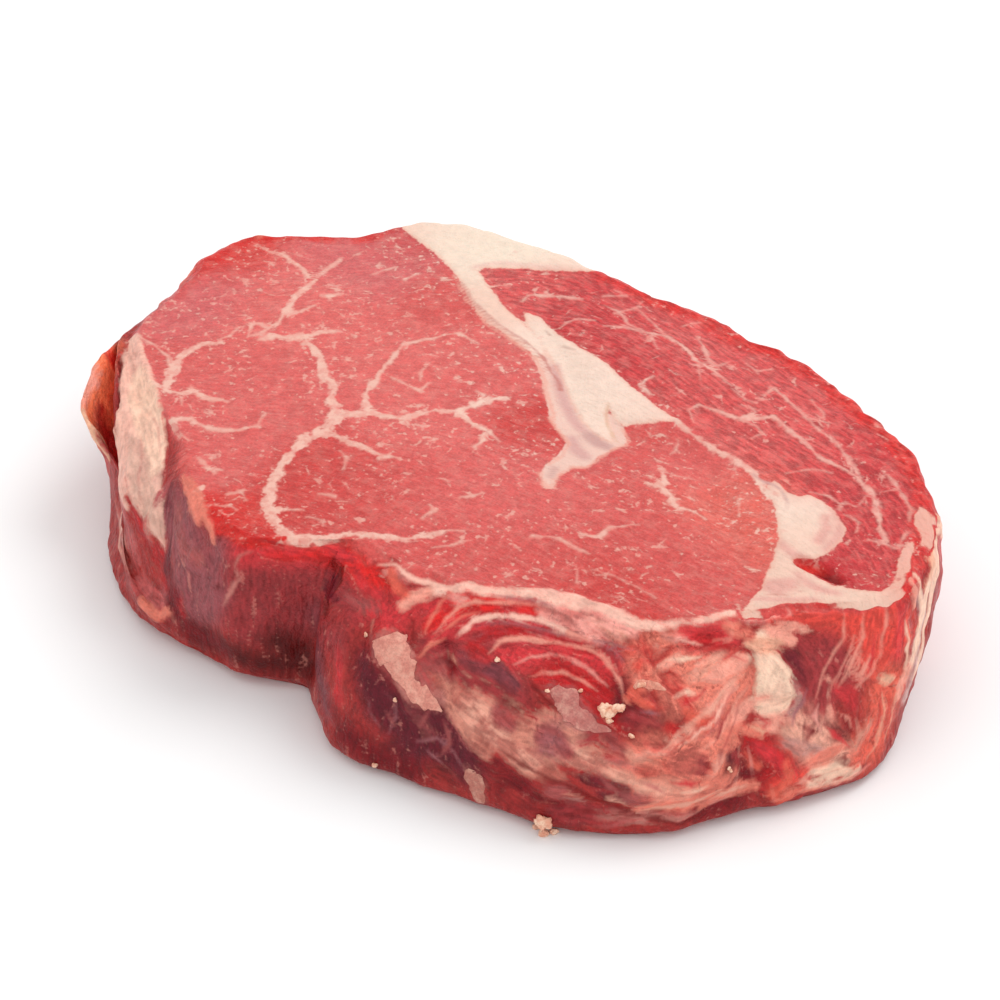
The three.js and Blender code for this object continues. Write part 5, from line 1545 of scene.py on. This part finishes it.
# Lines: how far they wiggle, how soft their sides are, how far they run past their ends, how much
# they fray, and their thinnest and thickest places as shares of their drawn width
TWIG_LINES = (0.8, 0.25, 0.5, 0.5, 0.2, 1.85)
VEIN_LINES = (0.9, 0.45, 0.5, 0.3, 0.35, 1.6)
THREAD_LINES = (0.4, 0.42, 0.2, 0.15, 0.5, 1.4)
LINE_DRIFT = (0.35, 1.0)
LINE_SWELL = (0.42, 2.0, 0.6)
SWELL_STEP = (0.3, 0.7)
FAINT_STEP = (0.0, 0.7, 0.5, 1.0)      # the thinnest lines are faint
TWIG_STRENGTH = 0.9
LEAN_IN_VEINS = (0.42, 0.62, 0.0, 0.3)
line_drift = centred(noise(place, *LINE_DRIFT))
line_swell = noise(place, *LINE_SWELL)
line_fray = centred(grain)
vein_colour = mixed(smooth_step(cells, *LEAN_IN_VEINS), fat_paint, attribute("tint", "Color"))
twigs = times(line_cover("twig", *TWIG_LINES), TWIG_STRENGTH)
colour = mixed(twigs, colour, vein_colour)
colour = mixed(line_cover("vein", *VEIN_LINES), colour, vein_colour)

# Pale and dark cords of the bare muscle on the side
CORDS = (0.8, 1.0, 5, 3.0)
PALE_CORD = (222, 140, 126)
PALE_CORD_STEP = (0.54, 0.62, 0.0, 0.38)
DARK_CORD = (104, 22, 30)
DARK_CORD_STEP = (0.38, 0.46, 0.5, 0.0)
cords = drawn_out(place, way, *CORDS)
lean_wall = times(wall, minus(1.0, fat_cover))
for cord, step in ((PALE_CORD, PALE_CORD_STEP), (DARK_CORD, DARK_CORD_STEP)):
    colour = mixed(times(smooth_step(cords, *step), lean_wall), colour, painted(cord))

# Layers of the skin, from the deepest: softness and fraying of the ragged edge, cover where the
# layer is thinnest and where it is thickest, and depth of its streaks
LAYER_LOOKS = {
    # the cleft layer is painted shade
    "cleft": (0.5, 0.8, 0.7, 1.0, 0.1),
    "muscle": (0.9, 1.0, 0.5, 0.95, 0.2),
    "film": (0.8, 1.1, 0.4, 0.95, 0.14),
    "skin_fat": (0.6, 0.8, 0.84, 1.0, 0.09),
}
FRAY_REACH = 4.0
LAYER_WANDER = (0.5, 3.0, 0.6)
LAYER_REACH = 1.4
LAYER_CELLS = 0.08
THIN_PLACES = (0.4, 1.2, 3)
THIN_FRAY = 0.06
THIN_STEP = (0.4, 0.6)
frayed = times(centred(streaks), FRAY_REACH)
wander = centred(noise(place, *LAYER_WANDER))
thin_field = plus(drawn_out(place, way, *THIN_PLACES), times(frayed, THIN_FRAY))
thin = smooth_step(thin_field, *THIN_STEP)
relief = FLAT
for name in SKIN_LAYERS:
    softness, fraying, thinnest, thickest, streak_depth = LAYER_LOOKS[name]
    margin = times_plus(wander, LAYER_REACH, attribute(name))
    margin = times_plus(frayed, fraying, margin)
    strength = node("MapRange", thin, 0.0, 1.0, thinnest, thickest)
    cover = times(smooth_step(margin, -softness, softness, 1.0, 0.0), strength)
    light = times_plus(streak_light, streak_depth, 1.0)
    light = times_plus(cell_light, LAYER_CELLS, light)
    colour = mixed(cover, colour, lit(attribute(name + "_tint", "Color"), light))
    relief = mixed(cover, relief, attribute(name + "_tint", "Alpha"), "FLOAT")
threads = line_cover("thread", *THREAD_LINES)
colour = mixed(threads, colour, attribute("thread_tint", "Color"))
relief = mixed(threads, relief, attribute("thread_tint", "Alpha"), "FLOAT")

# The moist surface: what each kind of mark adds to its fine relief, and how it shines
STREAK_HEIGHT = 0.8
GRAIN_HEIGHT = 0.25
CORD_HEIGHT = 1.2
LAYER_HEIGHT = 1.2
WET_PATCHES = (0.3, 3.0)
WET_STEP = (0.3, 0.7, 0.34, 0.5)
MEAT_BUMP = (0.7, 1.0)  # strength, and depth in millimetres
MEAT_SHADER = {
    "IOR": 1.4,
    "Specular IOR Level": 0.3,
    "Subsurface Weight": 0.08,
    "Subsurface Radius": (1.0, 0.4, 0.3),
    "Subsurface Scale": 0.8 * MM,
}
height = plus(times(streaks, STREAK_HEIGHT), times(grain, GRAIN_HEIGHT))
height = times_plus(times(cords, wall), CORD_HEIGHT, height)
height = times_plus(relief, LAYER_HEIGHT, height)
roughness = smooth_step(noise(place, *WET_PATCHES), *WET_STEP)
finish_surface(colour, roughness, height, *MEAT_BUMP, MEAT_SHADER)

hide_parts("steak")
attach(steak, "root")

# ----------------------------------------
# Crumbs of fat torn off when the slice was cut. They stick to the moist side, and one cluster
# has fallen on the table at its foot. Each is a clump of lumpy grains of soft white fat.

# Clumps: bearing, level, how far off the side, half length, half height, grains, grain size
CRUMBS = [
    (317.6, 4.9, 0.3, 1.9, 1.1, 22, 0.62), (319.2, 4.95, 0.4, 0.7, 0.5, 8, 0.45),
    (317.4, 4.65, 0.1, 0.6, 0.4, 6, 0.36), (307.6, 1.2, 0.7, 0.9, 0.6, 16, 0.56),
    (308, 0.7, 1.2, 0.8, 0.8, 14, 0.5), (309.3, 0.4, 1.8, 0.8, 0.3, 8, 0.4),
    (307, 0.4, 1.6, 0.7, 0.3, 6, 0.34), (280.7, 1.1, 0.1, 0.4, 0.3, 4, 0.32),
    (282.8, 3.1, 0.1, 0.3, 0.3, 3, 0.34), (300.8, 5.4, 0.1, 0.3, 0.4, 4, 0.34),
    (314.2, 5.25, 0.1, 0.3, 0.3, 3, 0.36), (273.6, 5.1, 0, 0.4, 0.3, 3, 0.28),
    (309.1, 5.1, 0.1, 0.3, 0.3, 3, 0.34), (323.3, 5.4, 0.1, 0.8, 0.4, 7, 0.4),
    (331.5, 2.55, 0, 0.3, 0.4, 4, 0.32), (319.9, 4.2, 0, 0.4, 0.3, 4, 0.36),
]
GRAIN_RINGS = 7
GRAIN_SPOKES = 12
GRAIN_LUMPS = [(0.45, 0.7, 61)]
GRAINS_APART = 5       # so that no two grains have the same lumps
GRAIN_BULK = (0.5, 1.3)
GRAIN_STRETCH = (0.6, 1.4)
GRAIN_HEAP = 0.5       # grains are heaped up to this share of their size
GRAIN_REST = 0.7       # the middle of a grain is never nearer the table than this share of its size
TABLE_GAP = 0.02
SIDE_REACH = 8         # a ray towards the meat starts this far outside the smooth side
BEARING_STEP = 0.5
LEVEL_STEP = 0.05

surface = BVHTree.FromPolygons(points.tolist(), quads.tolist())


def on_meat(bearing, level):
    """Points of the finished side at a bearing and level, and the way out of the meat there"""
    smooth = settled(side_points(bearing, level))
    along = settled(side_points(bearing + BEARING_STEP, level)) - smooth
    up = settled(side_points(bearing, level + LEVEL_STEP)) - smooth
    outward = unit(np.cross(along, up))
    found = []
    for place, way_out in zip(smooth, outward):
        hit = surface.ray_cast(Vector(place + SIDE_REACH * way_out), Vector(-way_out))[0]
        found.append(place if hit is None else hit)
    return np.array(found), outward


def crumb_grain(centre, size, shift):
    """A lumpy closed grain: its corners, and its faces counted from its first corner"""
    tilts = np.pi * np.arange(1, GRAIN_RINGS) / GRAIN_RINGS
    turns = 2 * np.pi * np.arange(GRAIN_SPOKES) / GRAIN_SPOKES
    tilt, turn = np.meshgrid(tilts, turns, indexing="ij")
    ball = np.stack([np.sin(tilt) * np.cos(turn), np.sin(tilt) * np.sin(turn), np.cos(tilt)], -1)
    ball = np.concatenate([ball.reshape(-1, 3), [(0, 0, 1), (0, 0, -1)]])
    ball *= (1 + unevenness(ball + shift, GRAIN_LUMPS))[:, None]
    stretch = random.uniform(*GRAIN_STRETCH, 3)
    corner = np.arange((GRAIN_RINGS - 1) * GRAIN_SPOKES).reshape(-1, GRAIN_SPOKES)
    beside = np.roll(corner, -1, axis=1)
    belts = np.stack([corner[:-1], corner[1:], beside[1:], beside[:-1]], -1).reshape(-1, 4)
    north = corner.size
    caps = [(north, int(a), int(b)) for a, b in zip(corner[0], beside[0])]
    caps += [(north + 1, int(b), int(a)) for a, b in zip(corner[-1], beside[-1])]
    return centre + size * stretch * ball, belts.tolist() + caps


crumb_points = []
crumb_faces = []
for at, at_level, off, half_length, half_height, grains, size in CRUMBS:
    foothold, way_out = on_meat(np.array([float(at)]), np.array([float(at_level)]))
    along = np.cross([0, 0, 1], way_out[0])
    up = np.cross(way_out[0], along)
    for _ in range(grains):
        bulk = size * random.uniform(*GRAIN_BULK)
        centre = foothold[0] + along * half_length * random.uniform(-1, 1)
        centre = centre + up * half_height * random.uniform(-1, 1)
        centre = centre + way_out[0] * (off + random.uniform(0, GRAIN_HEAP) * size)
        centre[2] = max(centre[2], GRAIN_REST * bulk)
        corners, grain_faces = crumb_grain(centre, bulk, GRAINS_APART * len(crumb_points))
        first = sum(len(block) for block in crumb_points)
        corners[:, 2] = np.maximum(corners[:, 2], TABLE_GAP)
        crumb_points.append(corners)
        crumb_faces += [tuple(first + c for c in face) for face in grain_faces]

crumbs = made_piece("fat_crumbs", np.concatenate(crumb_points), crumb_faces)

# Soft fat: warmer blotches, a fine grain, and a faint shine
CRUMB_PALE = (246, 206, 180)
CRUMB_WARM = (226, 160, 134)
CRUMB_BLOTCHES = (0.8, 3.0, 0.6)
CRUMB_STEP = (0.35, 0.65)
CRUMB_GRAIN = (3.0, 3.0, 0.6)
CRUMB_SHINE = (0.3, 0.7, 0.4, 0.55)
CRUMB_BUMP = (0.5, 0.3)
CRUMB_SHADER = {"Specular IOR Level": 0.3}
nodes, links, shader = new_material("crumb_fat", crumbs)
place = millimetres()
blotches = noise(place, *CRUMB_BLOTCHES)
colour = mixed(smooth_step(blotches, *CRUMB_STEP), painted(CRUMB_PALE), painted(CRUMB_WARM))
roughness = smooth_step(blotches, *CRUMB_SHINE)
finish_surface(colour, roughness, noise(place, *CRUMB_GRAIN), *CRUMB_BUMP, CRUMB_SHADER)
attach(crumbs, "root")

# ----------------------------------------
# Shreds of film: thin torn pieces of the pale skin between muscles, pulled loose when the slice
# was trimmed. They lie flat on the moist side, and their torn rims curl off it a little.

# Shreds: colour, and the places down the middle as (bearing, level, half width)
SHREDS = [
    ((216, 144, 128), [(278.8, 5.2, 2.2), (279.8, 5.05, 3), (282, 4.8, 2.7), (284.8, 4.1, 1.6),
     (287.2, 3.6, 1.4), (289.6, 3.4, 1), (291.5, 3.1, 0.2)]),
    ((180, 116, 102), [(296.4, 1.95, 0.3), (296.8, 1.85, 1.1), (297.8, 1.6, 1.5), (298.4, 1.3, 1.4),
     (298.9, 0.95, 0.3)]),
    ((188, 116, 108), [(310.2, 5.2, 0.9), (311.4, 5, 2.1), (312.7, 4.75, 2.1), (314.1, 4.5, 1.5),
     (315.7, 4.35, 0.9), (317.4, 4.3, 0.2)]),
    ((216, 140, 120), [(322, 5.35, 0.3), (323.4, 5.45, 0.8), (325, 5.4, 0.7), (326.2, 5.3, 0.2)]),
]
SHRED_STEP = 0.35
SHRED_CELLS = 14
FILM_THICKNESS = 0.1
RIM_THINNING = 0.7
RIM_SHARPNESS = 4      # the curl keeps close to the rims, and closer to the two ends
END_SHARPNESS = 8
TORN_LUMPS = [(0.35, 1.5, 71), (0.25, 0.7, 74)]
RIMS_APART = 40        # so that the two rims of a shred are not torn alike
LIFT = 0.08
CURL = 0.35
CURL_LUMPS = [(1, 1.6, 72)]
CURL_FROM = 0.1
SAG_LUMPS = [(0.06, 1.1, 73)]

shred_points = []
shred_faces = []
shred_tints = []
for colour, places in SHREDS:
    spine = np.array(places, float)
    corners = side_points(spine[:, 0], spine[:, 1])
    run = np.concatenate([[0], np.cumsum(np.linalg.norm(np.diff(corners, axis=0), axis=1))])
    steps = np.linspace(0, run[-1], math.ceil(run[-1] / SHRED_STEP))
    spine = np.stack([np.interp(steps, run, column) for column in spine.T], -1)
    middle = side_points(spine[:, 0], spine[:, 1])
    per_bearing = (side_points(spine[:, 0] + BEARING_STEP, spine[:, 1]) - middle) / BEARING_STEP
    per_level = (side_points(spine[:, 0], spine[:, 1] + LEVEL_STEP) - middle) / LEVEL_STEP
    out = unit(np.cross(per_bearing, per_level))
    aside = unit(np.cross(out, np.gradient(middle, axis=0)))

    # both rims are torn unevenly
    share = np.linspace(-1, 1, SHRED_CELLS + 1)
    both_rims = np.concatenate([middle, middle + RIMS_APART])
    ragged = (1 + unevenness(both_rims, TORN_LUMPS)).reshape(2, -1).T
    half = spine[:, 2, None] * np.where(share < 0, ragged[:, :1], ragged[:, 1:])
    shift = aside[:, None] * (half * share)[..., None]
    spread = []
    for at, around, upward, across in zip(spine, per_bearing, per_level, shift):
        slant = np.linalg.lstsq(np.stack([around, upward], -1), across.T, rcond=None)[0].T
        spread.append(at[:2] + slant)
    spread = np.array(spread)

    # the shred lies on the meat, and its rims curl up and are thinner
    foothold, way_out = on_meat(spread[..., 0].ravel(), spread[..., 1].ravel())
    ends = np.linspace(-1, 1, len(steps))
    rim = np.maximum(abs(share)[None] ** RIM_SHARPNESS, abs(ends)[:, None] ** END_SHARPNESS).ravel()
    curl = rim * np.clip(unevenness(foothold, CURL_LUMPS) - CURL_FROM, -CURL_FROM, 1)
    lift = LIFT + CURL * curl + unevenness(foothold, SAG_LUMPS)
    top_skin = foothold + way_out * lift[:, None]
    under_skin = top_skin - way_out * (FILM_THICKNESS * (1 - RIM_THINNING * rim))[:, None]
    corner = sum(len(block) for block in shred_points) + np.arange(len(top_skin)).reshape(len(steps), -1)
    below = corner + corner.size
    loop = np.concatenate([corner[0, :-1], corner[:-1, -1], corner[-1, :0:-1], corner[:0:-1, 0]])
    beside = np.roll(loop, -1)
    shred_points += [top_skin, under_skin]
    shred_faces.append(grid_quads(corner).reshape(-1, 4))
    shred_faces.append(grid_quads(below.T).reshape(-1, 4))
    shred_faces.append(np.stack([beside, loop, loop + corner.size, beside + corner.size], -1))
    shred_tints.append(np.tile(painted(colour), (2 * len(top_skin), 1)))

shreds = made_piece("film_shreds", np.concatenate(shred_points), np.concatenate(shred_faces).tolist())
store(shreds, "tint", np.concatenate(shred_tints))

# Torn film: redder where it is thin and the muscle shows through, and creamier where it is thick
SHRED_BLOTCHES = (0.6, 3.0, 0.6)
SHRED_GRAIN = (3.0, 2.0)
SHRED_GRAIN_LIGHT = (0.3, 0.7, 0.85, 1.1)
SHRED_RED = (178, 88, 80)
SHRED_RED_STEP = (0.45, 0.75, 0.0, 0.4)
SHRED_CREAM = (240, 190, 168)
SHRED_CREAM_STEP = (0.3, 0.55, 0.35, 0.0)
SHRED_SHINE = (0.3, 0.7, 0.36, 0.5)
SHRED_BUMP = (0.5, 0.4)
SHRED_SHADER = {"Specular IOR Level": 0.35}
nodes, links, shader = new_material("loose_film", shreds)
place = millimetres()
blotches = noise(place, *SHRED_BLOTCHES)
grain = noise(place, *SHRED_GRAIN)
colour = lit(attribute("tint", "Color"), smooth_step(grain, *SHRED_GRAIN_LIGHT))
colour = mixed(smooth_step(blotches, *SHRED_RED_STEP), colour, painted(SHRED_RED))
colour = mixed(smooth_step(blotches, *SHRED_CREAM_STEP), colour, painted(SHRED_CREAM))
roughness = smooth_step(blotches, *SHRED_SHINE)
height = plus(blotches, grain)
finish_surface(colour, roughness, height, *SHRED_BUMP, SHRED_SHADER)
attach(shreds, "root")

# ----------------------------------------
# The table: a plain white sheet, matt, and wide enough to fill the background. The slice rests
# on it, and it is there for the picture only.

FLOOR_HALF = 3000
FLOOR_WHITE = (0.93, 0.93, 0.93, 1)
FLOOR_ROUGHNESS = 0.9
FLOOR_SPECULAR = 0.1
floor_corners = FLOOR_HALF * np.array([(-1, -1, 0), (1, -1, 0), (1, 1, 0), (-1, 1, 0)])
floor = made_piece("floor", floor_corners, [(0, 1, 2, 3)])
nodes, links, shader = new_material("white_table", floor)
shader.inputs["Base Color"].default_value = FLOOR_WHITE
shader.inputs["Roughness"].default_value = FLOOR_ROUGHNESS
shader.inputs["Specular IOR Level"].default_value = FLOOR_SPECULAR

# ----------------------------------------
# The light: a bright white room all round, and one wide soft lamp high on the right behind the
# slice. Together they leave only a faint soft shadow in front of it.

ROOM_WHITE = (1, 1, 1, 1)
ROOM_STRENGTH = 0.98
LAMP_ENERGY = 22
LAMP_SIZE = 1.6
LAMP_TO_RIGHT = 1.26
LAMP_TO_BACK = 0.9
LAMP_HEIGHT = 2.16
CAMERA_AZIMUTH = math.radians(32)

world = bpy.data.worlds.new("white_room")
bpy.context.scene.world = world
world.use_nodes = True
world.node_tree.nodes["Background"].inputs["Color"].default_value = ROOM_WHITE
world.node_tree.nodes["Background"].inputs["Strength"].default_value = ROOM_STRENGTH

# The lamp's place is set out as the camera sees the slice
to_right = np.array([math.cos(CAMERA_AZIMUTH), math.sin(CAMERA_AZIMUTH), 0])
to_back = np.array([-math.sin(CAMERA_AZIMUTH), math.cos(CAMERA_AZIMUTH), 0])


def aim(thing, target):
    """Turns a lamp or camera so that it looks at the target"""
    direction = Vector(target) - thing.location
    thing.rotation_euler = direction.to_track_quat("-Z", "Y").to_euler()


lamp_data = bpy.data.lights.new("soft_lamp", "AREA")
lamp_data.shape = "DISK"
lamp_data.size = LAMP_SIZE
lamp_data.energy = LAMP_ENERGY
lamp = bpy.data.objects.new("soft_lamp", lamp_data)
lamp.location = LAMP_TO_RIGHT * to_right + LAMP_TO_BACK * to_back + np.array([0, 0, LAMP_HEIGHT])
bpy.context.scene.collection.objects.link(lamp)
aim(lamp, (0, 0, 0))

# ----------------------------------------
# The camera: looks down on the front right of the slice through a long lens, so that the cut
# face and the side are both seen and hardly narrow with distance.

CAMERA_ELEVATION = math.radians(38)
CAMERA_DISTANCE = 650
AIM = (-1.43, 0.15, 16)
LENS = 131
SENSOR = 36
camera_data = bpy.data.cameras.new("camera")
camera_data.lens = LENS
camera_data.sensor_width = SENSOR
camera = bpy.data.objects.new("camera", camera_data)
bpy.context.scene.collection.objects.link(camera)
towards_camera = -to_back * math.cos(CAMERA_ELEVATION) + np.array([0, 0, math.sin(CAMERA_ELEVATION)])
camera.location = (np.array(AIM) + CAMERA_DISTANCE * towards_camera) * MM
aim(camera, np.array(AIM) * MM)
bpy.context.scene.camera = camera
bpy.context.scene.view_settings.view_transform = "Standard"
